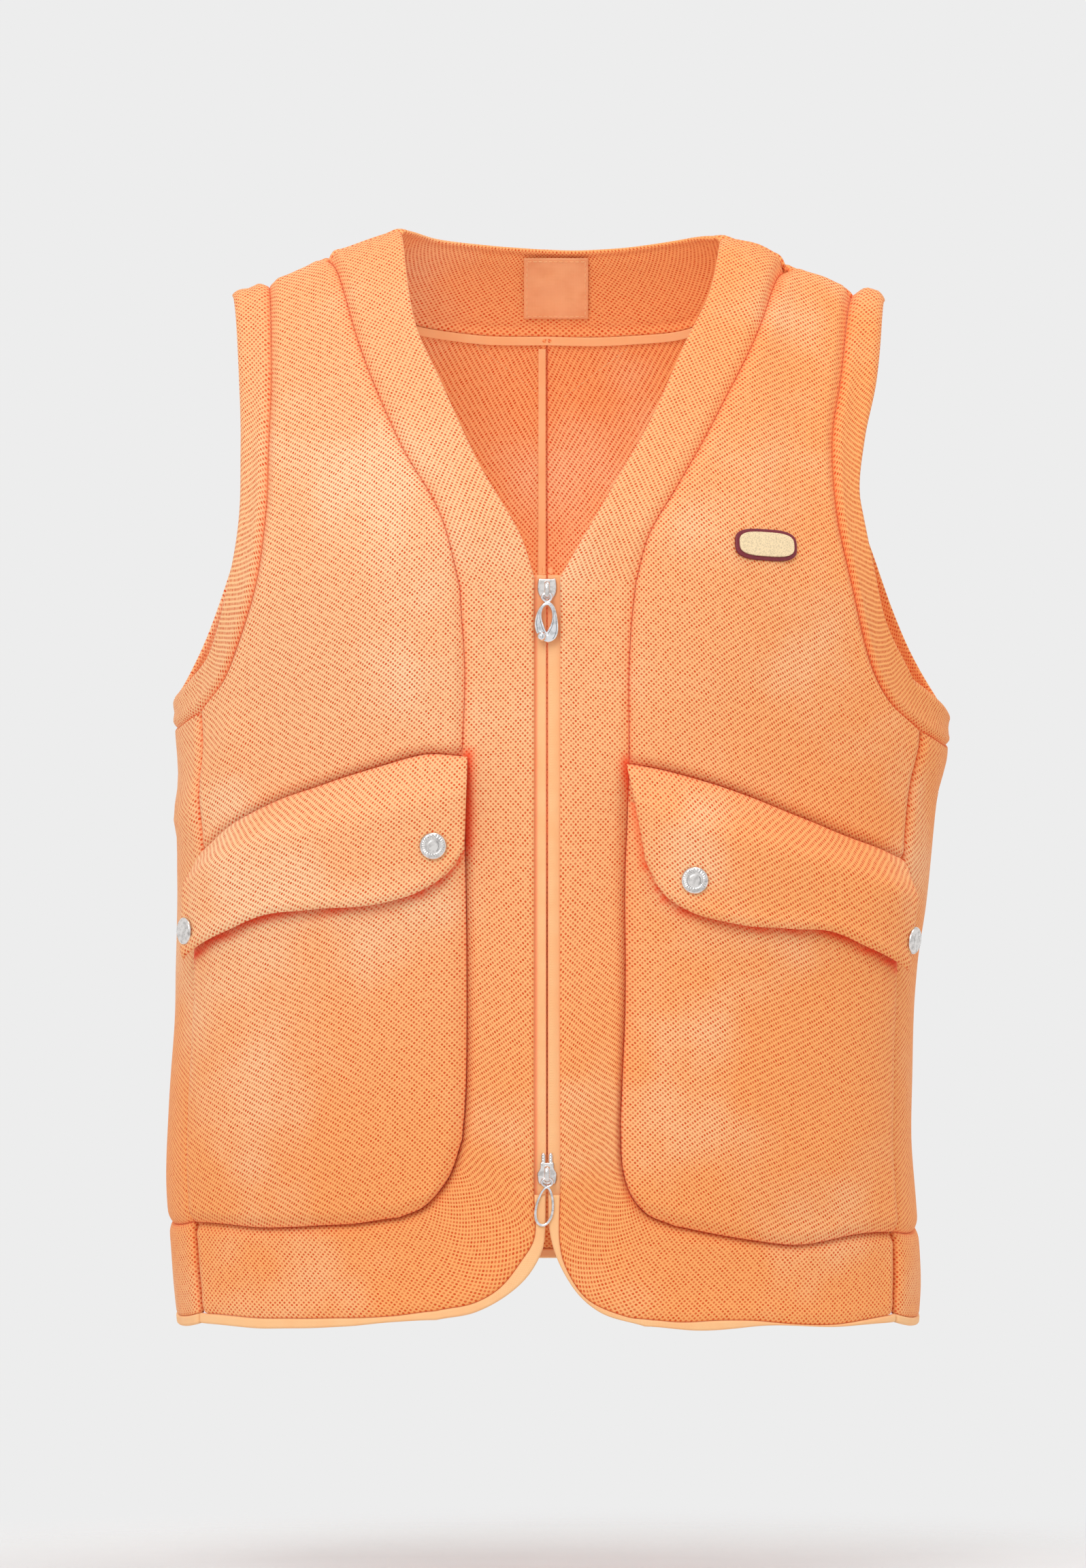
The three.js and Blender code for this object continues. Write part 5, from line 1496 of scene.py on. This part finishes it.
@dataclass
class Pocket:
    """One patch pocket and the snap-down flap over it."""

    sewing: Sewing
    side: Side
    # How deep and how wide the painted shade below the flap's edge is, and how deep it is under the
    # flap.
    flap_shade: float = 0.9
    flap_shade_reach: float = 2.4
    under_flap: float = 0.5

    def painted_flap_shade(self, draft: Draft) -> Array:
        """The painted shade on the pocket's face: most just below the flap's edge, less under it.

        It fades as a bell of the distance below that edge, and past the flap's inner end.
        """
        half = self.sewing.halves[self.side]
        edge = half.form.point(half.line("flap_bottom", 7))
        top = half.form.point(half.line("flap_top", 7))[0]
        order = np.argsort(edge[:, 0])
        below = np.interp(draft.base[..., 0], edge[order, 0], edge[order, 2]) - draft.base[..., 2]
        beside = self.flap_shade * np.exp(-((np.maximum(below, 0.0) / self.flap_shade_reach) ** 2))
        shade = np.where(below < -self.flap_shade_reach, self.under_flap, beside)
        end_x = np.interp(draft.base[..., 2], [edge[0, 2], top[2]], np.abs([edge[0, 0], top[0]]))
        past_end = np.maximum(end_x - np.abs(draft.base[..., 0]), 0.0)
        return shade * np.exp(-((past_end / self.flap_shade_reach) ** 2))

    def pocket(self) -> None:
        """Makes the pocket, free at its mouth and sewn on its other three sides."""
        half = self.sewing.halves[self.side]
        mouth = half.lowered(half.line("flap_top", 9), MOUTH_DROP)
        inner = half.band_seam[9 * FINE : half.panel_rows + 1]
        inner = np.vstack([[np.interp(mouth[0, 1], inner[:, 1], inner[:, 0]), mouth[0, 1]],
                           inner[inner[:, 1] > mouth[0, 1] + 0.02]])
        mouth[0] = inner[0]
        outer = half.straight(mouth[-1], half.side_seam[-1], steps=(6,))
        inner = recut(inner, np.linspace(0, 1, len(outer)))
        places = filled(inner, outer, mouth, half.band_seam[half.panel_rows :])
        draft = Draft.on(half.form, places)
        height = half.pocket_height(places) - FABRIC / 2
        self.sewing.sew(f"{self.side.value}_pocket", draft, PUFFED, Edges(top=Edge.FOLD), height,
                        self.sewing.finishes.mesh, 1.0, self.painted_flap_shade(draft))

    def flap(self) -> None:
        """Makes the flap, which is given no body."""
        half = self.sewing.halves[self.side]
        across = edged(16)
        places = strip(half.line("flap_top", 7), half.line("flap_bottom", 7), edged(7 * FINE), across)
        draft = Draft.on(half.form, places)
        rise = half.pocket_height(places) + FLAP_GAP - LIFT
        height = LIFT + smooth(across / 0.4)[None] * rise + FABRIC / 2
        edges = Edges(top=Edge.FOLD, bottom=Edge.FOLD, end=Edge.FOLD)
        piece = self.sewing.sew(f"{self.side.value}_pocket_flap", draft, HEMMED, edges, height,
                                self.sewing.finishes.mesh, body="")
        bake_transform(piece)

    def build(self) -> None:
        """Makes both pieces."""
        self.pocket()
        self.flap()


@dataclass
class Snaps:
    """The two snaps of one flap: caps with a ring of ridges, and the parts under them."""

    sewing: Sewing
    side: Side
    radius: float = 7.5
    thickness: float = 2.2
    stand_off: float = 8.3
    ridges: int = 26

    def axes(self, place: Array) -> Axes:
        """The axes of one snap, square to the pocket's face."""
        half = self.sewing.halves[self.side]

        def face(at: Array) -> Array:
            """A point of the pocket's face."""
            return half.form.point(at) + half.form.normal(at) * half.pocket_height(at)[..., None]

        around = face(place + [1.5, 0.0]) - face(place - [1.5, 0.0])
        down = face(place + [0.0, 0.12]) - face(place - [0.0, 0.12])
        return Axes.facing(face(place), unit(np.cross(down, around) * self.side.sign))

    def cap(self, name: str, place: Array) -> None:
        """Makes one cap: a rolled rim, a ridged ring, a groove and a shallow dome.

        The dome and the rim fall away with powers of the radius. Two bells of the radius cut
        the grooves, and the ridges follow the cosine of the angle between them.
        """
        shares = np.array([0.02, 0.15, 0.3, 0.42, 0.5, 0.56, 0.62, 0.68, 0.74, 0.8, 0.86, 0.91,
                           0.95, 0.98, 1.0])
        r, angle = np.meshgrid(shares, circle(4 * self.ridges), indexing="ij")
        bell = np.exp(-(((r - 0.73) / 0.11) ** 2))
        groove = np.exp(-(((r - 0.5) / 0.05) ** 2)) + np.exp(-(((r - 0.93) / 0.03) ** 2))
        height = 0.72 + 0.28 * np.sqrt(np.maximum(1 - r**4, 0.0))
        ridged = bell * np.cos(self.ridges * angle + 3 * np.sin(2 * angle))
        height = height - 0.16 * groove + 0.1 * ridged
        height = height * np.sqrt(np.maximum(1 - np.clip((r - 0.86) / 0.14, 0, 1) ** 3, 0.0))
        size = self.radius * r
        axes = self.axes(place)
        face = axes.at(size * np.cos(angle), size * np.sin(angle),
                       self.stand_off + self.thickness * np.maximum(height, 0.16))
        under = axes.at(size[::-1] * np.cos(angle), size[::-1] * np.sin(angle),
                        np.full(size.shape, self.stand_off))
        piece = bodies(f"{name}_metal", (np.concatenate([face, under]), False))
        settle(piece, self.sewing.finishes.plated, f"{self.side.value}_flap", name)

    def build(self) -> None:
        """Makes the caps and gives the hidden parts their finish."""
        places = self.sewing.halves[self.side].spots["snaps"]
        for spot, place in zip(("inner", "outer"), places):
            name = f"{self.side.value}_{spot}_snap"
            self.cap(f"{name}_cap", place)
            for part in ("socket", "stud", "post"):
                self.sewing.finishes.plated.put_on_node(f"{name}_{part}")


# ------------------------------------------------------------------------- the zip
@dataclass
class Zip:
    """The tapes, the coils behind them, the stops and the pins."""

    sewing: Sewing
    gap: float = 0.32
    reach: float = 12.0
    top: float = -186.0
    end: float = -537.0
    pitch: float = 1.4
    pull_z: float = -203.0
    # How wide and how tall the painted shade round the top pull is.
    pull_shade: tuple[float, float] = (6.5, 20.0)

    def tape(self, side: Side) -> None:
        """Makes one tape, with the bumps of the coil showing beside the centre line.

        It is painted with shade along the centre line, along the band's edge on the wearer's right and
        round the top pull.
        """
        low, high = node_box(f"{side.value}_zip_tape")
        x, z = np.meshgrid(self.gap + (self.reach - self.gap) * edged(8),
                           np.linspace(self.top, self.end, 760))
        middle = 0.5 * (low[1] + high[1])
        base = np.stack([side.sign * x, np.full(x.shape, middle), z], axis=-1)
        out = np.broadcast_to([0.0, -1.0, 0.0], base.shape)
        draft = Draft(base, out, np.stack([x, z], axis=-1))
        ripple = 0.16 * np.cos(2 * np.pi * z / self.pitch) * np.exp(-(((x - 1.9) / 1.1) ** 2))
        swell = 0.3 * np.exp(-(((x - 1.8) / 1.5) ** 2))
        outer, inner, _ = skins(draft, TAPE, ALL_FLAT, ripple + swell)
        # Painted shade: along the centre line, along the band's edge on the wearer's right, and round
        # the top pull.
        inward = 0.45 * np.exp(-((x / 0.8) ** 2))
        beside_edge = 0.85 * np.exp(-(((x - ZIP_EDGE + 0.4) / 0.6) ** 2)) * (side is Side.RIGHT)
        wide, tall = self.pull_shade
        round_pull = 0.35 * np.exp(-((x / wide) ** 2) - ((z - self.pull_z) / tall) ** 2)
        tone = np.maximum(np.maximum(inward, beside_edge), round_pull)
        piece = sheet_mesh(f"{side.value}_zip_tape_cloth", draft, outer, inner, tone)
        declare(draft, TAPE.thickness)
        settle(piece, self.sewing.finishes.tape, "vest", f"{side.value}_zip_tape")

    def coil(self, side: Side) -> None:
        """Makes one coil as a flattened helix: cos and sin of a steady turn, stretched across."""
        low, high = node_box(f"{side.value}_zip_coil")
        wire = 0.3
        half = 0.5 * (high - low) - wire
        middle = 0.5 * (high + low)
        turns = int((high[2] - low[2]) / self.pitch)
        turn = np.linspace(0, 2 * np.pi * turns, turns * 10 + 1)
        path = np.stack([middle[0] + half[0] * np.cos(turn), middle[1] + half[1] * np.sin(turn),
                         np.linspace(low[2] + wire, high[2] - wire, len(turn))], axis=-1)
        rings = round_ended(path, wire, np.array([0.0, 0.0, 1.0]), sides=6)
        piece = bodies(f"{side.value}_zip_coil_wire", (rings, False))
        settle(piece, self.sewing.finishes.coil, "vest", f"{side.value}_zip_coil")

    def build(self) -> None:
        """Makes the zip of both sides."""
        for side in Side:
            self.tape(side)
            self.coil(side)
            self.sewing.finishes.coil.put_on_node(f"{side.value}_top_stop")
            self.sewing.finishes.plated.put_on_node(f"{side.value}_zip_pin")


SLIDER_OUTLINE = ((2.4, 5.5), (4.5, 5.5), (5.0, 3.6), (5.2, 1.0), (4.7, -2.4), (3.0, -5.0),
                  (0, -5.75), (-3.0, -5.0), (-4.7, -2.4), (-5.2, 1.0), (-5.0, 3.6), (-4.5, 5.5),
                  (-2.4, 5.5))
LUGGED_OUTLINE = ((1.5, 5.9), (3.6, 5.9), (3.8, 2.9), (5.2, 0.2), (5.2, -1.6), (4.7, -4.9),
                  (3.0, -5.9), (-3.0, -5.9), (-4.7, -4.9), (-5.2, -1.6), (-5.2, 0.2), (-3.8, 2.9),
                  (-3.6, 5.9), (-1.5, 5.9))


@dataclass
class Slider:
    """One slider: two plates joined by a post, and the bridge that holds the pull."""

    sewing: Sewing
    name: str
    centre_z: float
    lugs: bool = False
    plate: float = 1.4
    post: float = 0.3
    lug_x: float = 2.0
    lug_foot: float = 4.6
    bridge_wire: float = 0.6

    def lug(self, x: float, low: Array, high: Array) -> Array:
        """Rings of one ridged lug, which stands up from the front plate and narrows at its tip."""
        z = np.linspace(self.centre_z + self.lug_foot, high[2], 30)
        wide = 1.05 * np.sqrt(np.clip((high[2] + 0.02 - z) / 1.2, 0, 1)) + 0.04
        path = np.stack([np.full(z.shape, x), np.full(z.shape, low[1] + 0.7), z], axis=-1)
        ridged = 0.62 + 0.1 * np.cos(2 * np.pi * z / 1.5)
        return tube(path, wide, ridged * np.minimum(wide, 1), np.array([0.0, 1, 0]))

    def build(self) -> None:
        """Makes the body and then the bridge."""
        low, high = node_box(f"{self.name}_body")
        outline = rounded(LUGGED_OUTLINE if self.lugs else SLIDER_OUTLINE)
        half = self.post
        post = rounded(((-half, -1.5), (half, -1.5), (half, 4.5), (-half, 4.5)))
        shells = [
            (plate(outline, low[1], low[1] + self.plate, self.centre_z, 0.65), False),
            (plate(outline, high[1] - self.plate, high[1], self.centre_z, 0.5), False),
            (plate(post, low[1] + 1.0, high[1] - 1.0, self.centre_z, 0.1), False),
        ]
        if self.lugs:
            shells += [(self.lug(x, low, high), False) for x in (-self.lug_x, self.lug_x)]
        piece = bodies(f"{self.name}_body_metal", *shells)
        settle(piece, self.sewing.finishes.plated, self.name, f"{self.name}_body")
        self.bridge()

    def bridge(self) -> None:
        """Makes the bridge as an arch of flat wire, its height the sine to a low power."""
        low, high = node_box(f"{self.name}_bridge")
        turn = np.linspace(0, np.pi, 40)
        middle = 0.5 * (low[2] + high[2])
        reach = 0.5 * (high[2] - low[2]) - self.bridge_wire
        arch = np.sin(turn) ** 0.35
        y = high[1] + (low[1] + self.bridge_wire - high[1]) * arch
        path = np.stack([np.zeros(turn.shape), y, middle + reach * np.cos(turn)], axis=-1)
        wide = 1.4 - 0.1 * np.sin(turn) ** 2
        wire = np.full(turn.shape, self.bridge_wire)
        rings = tube(path, wire, wide, np.array([1.0, 0.0, 0.0]))
        piece = bodies(f"{self.name}_bridge_metal", (rings, False))
        settle(piece, self.sewing.finishes.plated, self.name, f"{self.name}_bridge")


@dataclass
class Pull:
    """One pull, cast as a ring under an eye. Lengths are from the hinge, downwards."""

    sewing: Sewing
    name: str
    hinge: tuple[float, float]
    eye: tuple[float, float, float, float]
    ring: tuple[float, float, float]
    flare: float
    wire: tuple[float, float]
    thick: float
    tilt: float = 0.0
    waver: float = 0.0
    bead: tuple[float, float, float, float] | None = None
    below_eye: float = 4.3

    def swing(self, points: Array) -> Array:
        """The points leaned sideways below the eye, by the sine of the tilt."""
        below = np.maximum(0.0, self.hinge[1] - points[..., 2] - self.below_eye)
        moved = points.copy()
        moved[..., 0] -= math.sin(math.radians(self.tilt)) * below
        return moved

    def loop(self, middle: float, high: float, wide: float, flare: float, wire: Array,
             turn: Array) -> Array:
        """Rings of one loop: x is wide less flare times cos, times sin; z is high times cos."""
        y, z = self.hinge
        x = (wide - flare * np.cos(turn)) * np.sin(turn) + self.waver * np.sin(2 * turn + 0.6)
        path = np.stack([x, np.full(turn.shape, y), z + middle + high * np.cos(turn)], axis=-1)
        thick = np.minimum(self.thick, 1.25 * wire)
        return self.swing(tube(path, wire, thick, np.array([0.0, 1.0, 0.0]), closed=True))

    def build(self) -> None:
        """Makes the eye, the ring below it and the bead, as one piece."""
        turn = circle(72)
        middle, high, wide, wire = self.eye
        shells = [(self.loop(middle, high, wide, 0.0, np.full(turn.shape, wire), turn), True)]
        middle, high, wide = self.ring
        thin, fat = self.wire
        wire_here = 0.5 * (thin + fat) - 0.5 * (fat - thin) * np.cos(turn)
        wire_here = wire_here * (1 + (fat - thin) * 0.07 * np.sin(3 * turn + 0.8))
        shells.append((self.loop(middle, high, wide, self.flare, wire_here, turn), True))
        if self.bead:
            x, y, z, radius = self.bead
            up = np.linspace(0.02, np.pi - 0.02, 17)[:, None]
            around = circle(28)[None]
            ball = [x + radius * np.sin(up) * np.cos(around), y + radius * np.sin(up) * np.sin(around),
                    self.hinge[1] + z + radius * np.cos(up) * np.ones_like(around)]
            shells.append((np.stack(ball, axis=-1), False))
        piece = bodies(f"{self.name}_metal", *shells)
        settle(piece, self.sewing.finishes.polished, self.name, self.name)


# ------------------------------------------------------------------------- label, stitches, badge
@dataclass
class Inside:
    """The blank label and the rows of stitches that show inside the back."""

    sewing: Sewing
    label: tuple[float, float, float, float] = (-13.0, 23.0, -11.0, -45.0)
    thickness: float = 0.6
    stitch: float = 2.2
    thread: float = 0.2
    label_inset: float = 1.6
    right_slant: tuple[tuple[float, float], ...] = ((-42.0, -58.0), (-5.5, -87.0))
    left_slant: tuple[tuple[float, float], ...] = ((45.0, -62.0), (9.0, -90.0))

    def on_back(self, x: Array, z: Array) -> tuple[Array, Array]:
        """The points and the outward directions on the back, on either side of its middle."""
        forms = [self.sewing.halves[side].form for side in Side]
        places = [form.on_back(x, z) for form in forms]
        right = (np.asarray(x) < 0)[..., None]
        point = np.where(right, forms[0].point(places[0]), forms[1].point(places[1]))
        return point, np.where(right, forms[0].normal(places[0]), forms[1].normal(places[1]))

    def crease(self, x: Array, z: Array) -> Array:
        """Soft creases of the label, as sines of a slanted length."""
        left, right, top, bottom = self.label
        u = (x - left) / (right - left)
        v = (z - bottom) / (top - bottom)
        loose = 16 * u * (1 - u) * v * (1 - v)
        return loose * (0.5 * np.sin(6.5 * u + 3.5 * v) + 0.35 * np.sin(11 * v - 5 * u) - 0.5)

    def build_label(self) -> None:
        """Makes the label, a little creased."""
        left, right, top, bottom = self.label
        x, z = np.meshgrid(left + (right - left) * edged(26), top + (bottom - top) * edged(24))
        point, out = self.on_back(x, z)
        draft = Draft(point, out, np.stack([x, z], axis=-1))
        cloth = Cloth(thickness=self.thickness, pinch=0.0, corner=0.5)
        lay = -FABRIC - LIFT - self.thickness / 2 + self.crease(x, z) + self.sewing.hang.rise(point)
        outer, inner, _ = skins(draft, cloth, ALL_FLAT, lay)
        piece = sheet_mesh("neck_label_cloth", draft, outer, inner, np.zeros(x.shape))
        declare(draft, self.thickness)
        settle(piece, self.sewing.finishes.label, "vest", "neck_label")

    def stitches(self, name: str, corners: Iterable[tuple[float, float]], depth: float) -> None:
        """Makes a row of stitches between corners on the back, at a depth behind the cloth."""
        shells = []
        for (x0, z0), (x1, z1) in pairwise(corners):
            length = math.hypot(x1 - x0, z1 - z0)
            count = max(1, round(length / (1.35 * self.stitch)))
            for i in range(count):
                s = (i + np.linspace(0.13, 0.87, 9)) / count
                x, z = x0 + (x1 - x0) * s, z0 + (z1 - z0) * s
                point, out = self.on_back(x, z)
                arch = self.thread * np.sin(np.linspace(0, np.pi, 9))
                deep = depth + arch - self.sewing.hang.rise(point)
                path = point - out * deep[:, None]
                shells.append((round_ended(path, self.thread, out.mean(axis=0), 6), False))
        settle(bodies(name, *shells), self.sewing.finishes.tape, "vest")

    def build(self) -> None:
        """Makes the label and the stitches round it and down the back."""
        self.build_label()
        left, right, top, bottom = self.label
        inset = self.label_inset
        corners = [(left + inset, top - inset), (right - inset, top - inset),
                   (right - inset, bottom + inset), (left + inset, bottom + inset),
                   (left + inset, top - inset)]
        self.stitches("label_stitches", corners, FABRIC + LIFT + self.thickness + 0.1)
        self.stitches("back_v_stitches", self.right_slant, FABRIC + 0.05)
        self.stitches("back_v_stitches_left", self.left_slant, FABRIC + 0.05)


@dataclass
class Badge:
    """A plain raised lozenge on the wearer's left chest."""

    sewing: Sewing
    x: float = 118.0
    z: float = -170.0
    width: float = 36.0
    height: float = 17.5
    base: float = 1.6
    rise: float = 0.9
    rim: float = 2.0
    tilt: float = -4.0
    squareness: float = 0.62

    def lozenge(self, axes: Axes, width: float, height: float, low: float, high: float,
                crown: float) -> Array:
        """Rings of a rounded lozenge: cos and sin of the angle, to the power of squareness."""
        turn = circle(96)
        across = 0.5 * width * signed_power(np.cos(turn), self.squareness)
        upward = 0.5 * height * signed_power(np.sin(turn), self.squareness)
        bend = np.linspace(0, np.pi / 2, 6)
        inset = 0.035 * (1 - np.sin(bend))
        shares = np.concatenate([[0.02, 0.3, 0.6, 0.85], 1 - inset, [1.0, 0.6, 0.02]])
        lift = high - (high - low) * 0.45 * (1 - np.cos(bend))
        heights = np.concatenate([np.full(4, high) + crown * (1 - shares[:4] ** 2), lift, [low] * 3])
        share = shares[:, None]
        tall = np.broadcast_to(heights[:, None], (len(shares), len(turn)))
        return axes.at(across[None] * share, upward[None] * share, tall)

    def build(self) -> None:
        """Makes the base with its rim and the face on it."""
        form = self.sewing.halves[Side.LEFT].form
        place = form.on_front(self.x, self.z)
        axes = Axes.facing(form.point(place), form.normal(place), self.tilt)
        low = CLEARANCE
        top = low + self.base
        piece = bodies("chest_badge_moulding",
                       (self.lozenge(axes, self.width, self.height, low, top, 0.0), False))
        settle(piece, self.sewing.finishes.rubber, "vest", "chest_badge_base")
        inset = 2 * self.rim
        face = self.lozenge(axes, self.width - inset, self.height - inset, top + 0.02,
                            top + CLEARANCE + self.rise, 0.3)
        piece = bodies("chest_badge_plain_face", (face, False))
        settle(piece, self.sewing.finishes.face, "vest", "chest_badge_face")


# ------------------------------------------------------------------------- the studio
@dataclass
class Studio:
    """The camera, the soft light and the floor."""

    distance: float = 9.0
    sensor: float = 36.0
    view_height: float = 0.848
    aim: tuple[float, float, float] = (-0.0022, -0.100, -0.299)
    elevation: float = 1.5
    paper: float = 0.847
    floor_drop: float = 140.0
    card: tuple[float, float] = (175.0, 1250.0)
    card_place: tuple[float, float] = (1100.0, -2000.0)

    def camera(self) -> None:
        """Puts the camera in front, a little above the middle of the vest."""
        data = bpy.data.cameras.new("studio_camera")
        data.sensor_width = self.sensor
        data.lens = self.sensor * self.distance / self.view_height
        data.clip_end = 30.0
        eye = bpy.data.objects.new("studio_camera", data)
        rise = math.radians(self.elevation)
        aim = Vector(self.aim)
        eye.location = aim + self.distance * Vector((0.0, -math.cos(rise), math.sin(rise)))
        eye.rotation_euler = (aim - eye.location).to_track_quat("-Z", "Y").to_euler()
        bpy.context.scene.collection.objects.link(eye)
        bpy.context.scene.camera = eye

    def lamp(self, name: str, place: tuple[float, float, float], size: float, power: float,
             aim: tuple[float, float, float] | None = None) -> None:
        """Adds one softbox, hidden from the camera, that faces the vest or another aim."""
        data = bpy.data.lights.new(name, "AREA")
        data.shape = "DISK"
        data.size = size
        data.energy = power
        box = bpy.data.objects.new(name, data)
        box.location = place
        ahead = Vector(aim or self.aim) - Vector(place)
        box.rotation_euler = ahead.to_track_quat("-Z", "Y").to_euler()
        box.visible_camera = False
        bpy.context.scene.collection.objects.link(box)

    def light(self) -> None:
        """Lights the vest with a pale surround, two softboxes and a small lamp inside it."""
        world = bpy.data.worlds.new("studio")
        world.use_nodes = True
        world.node_tree.nodes["Background"].inputs["Color"].default_value = (*[self.paper] * 3, 1.0)
        bpy.context.scene.world = world
        self.lamp("front_softbox", (-0.7, -2.6, 1.3), 1.6, 33.0)
        self.lamp("top_softbox", (0.5, -0.4, 2.2), 1.2, 8.0)
        self.lamp("inside_fill", (0.0, -0.03, -0.33), 0.16, 0.14, aim=(0.0, 0.09, -0.06))

    def floor(self) -> None:
        """Makes a round pale floor below the hem that fades out towards its rim."""
        shader = Shader("studio_floor")
        away = shader.node("ShaderNodeVectorMath", operation="LENGTH")
        shader.put(away.inputs[0], shader.place())
        faded = shader.spread(away.outputs["Value"], 0.66, 0.95, 1.0, 0.0)
        grain = shader.noise(shader.place(), 40.0)
        colour = shader.blend(grain, (238, 238, 238), (243, 243, 243))
        material = shader.finish(Base_Color=colour, Roughness=0.9, Alpha=faded)
        turn = circle(64)
        shares = np.array([0.001, 0.3, 0.6, 0.9, 0.9001, 0.6, 0.3, 0.001])[:, None]
        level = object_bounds()[0][2] / MM - self.floor_drop
        height = np.array([0.0, 0, 0, 0, -2, -2, -2, -2])[:, None] + level
        disc = np.stack([shares * 1000 * np.cos(turn), shares * 1000 * np.sin(turn),
                         height * np.ones_like(turn)], axis=-1)
        ground = bodies("studio_floor", (disc, False))
        ground.data.materials.append(material)
        ground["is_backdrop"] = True

    def cards(self) -> None:
        """Stands a tall black card on each side, hidden from the camera, for the metal to mirror."""
        shader = Shader("studio_card")
        dark = shader.noise(shader.place(), 8.0)
        colour = shader.blend(dark, (10, 10, 10), (16, 16, 16))
        material = shader.finish(Base_Color=colour, Roughness=0.9)
        half_wide, half_high = self.card
        outline = np.array([(half_wide, half_high), (-half_wide, half_high),
                            (-half_wide, -half_high), (half_wide, -half_high)])
        for name, x in (("right_card", -self.card_place[0]), ("left_card", self.card_place[0])):
            y = self.card_place[1]
            rings = plate(outline, y, y + 10.0, -300.0, 1.0) + np.array([x, 0.0, 0.0])
            card = bodies(name, (rings, False))
            card.data.materials.append(material)
            card.visible_camera = False
            card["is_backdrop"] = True

    def build(self) -> None:
        """Sets up the camera, the light, the floor and the cards."""
        self.camera()
        self.light()
        self.floor()
        self.cards()
        bpy.context.scene.view_settings.view_transform = "Standard"


# ------------------------------------------------------------------------- the whole vest
def main() -> None:
    """Builds the studio and the vest."""
    logging.basicConfig(level=logging.INFO, format="%(message)s")
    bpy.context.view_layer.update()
    Studio().build()
    front_depth = FABRIC + 2 * CLEARANCE - node_box("left_zip_tape")[0][1]
    halves = {side: HalfPattern(side, front_depth) for side in Side}
    hang = Hang(folds=FOLDS, still=STILL, lobes=LOBES)
    sewing = Sewing(halves, hang, Finishes())
    ridge_pinch = {Side.RIGHT: 0.2, Side.LEFT: 1.1}
    for side in Side:
        FrontPanels(sewing, side, ridge_pinch[side]).build()
        FrontBand(sewing, side, ridge_pinch[side]).build()
        ArmholeBand(sewing, side, ridge_pinch[side]).build()
        Pocket(sewing, side).build()
        Snaps(sewing, side).build()
    Back(sewing).build()
    Zip(sewing).build()
    Slider(sewing, "top_slider", TOP_SLIDER_Z).build()
    Slider(sewing, "bottom_slider", BOTTOM_SLIDER_Z, lugs=True).build()
    top_hinge = (HINGE_Y, TOP_SLIDER_Z - HINGE_DROP)
    bottom_hinge = (HINGE_Y, BOTTOM_SLIDER_Z - HINGE_DROP)
    Pull(sewing, "top_pull", top_hinge, eye=(-2.1, 2.1, 2.6, 0.7), ring=(-14.4, 9.2, 4.4),
         flare=0.4, wire=(1.0, 2.9), thick=1.1, waver=0.35, bead=(-3.0, -111.3, -22.9, 2.6)).build()
    Pull(sewing, "bottom_pull", bottom_hinge, eye=(-2.1, 2.2, 2.9, 0.65),
         ring=(-15.1, 10.2, 4.5), flare=1.0, wire=(0.7, 0.8), thick=0.75, tilt=7.0).build()
    Inside(sewing).build()
    Badge(sewing).build()


if __name__ == "__main__":
    main()
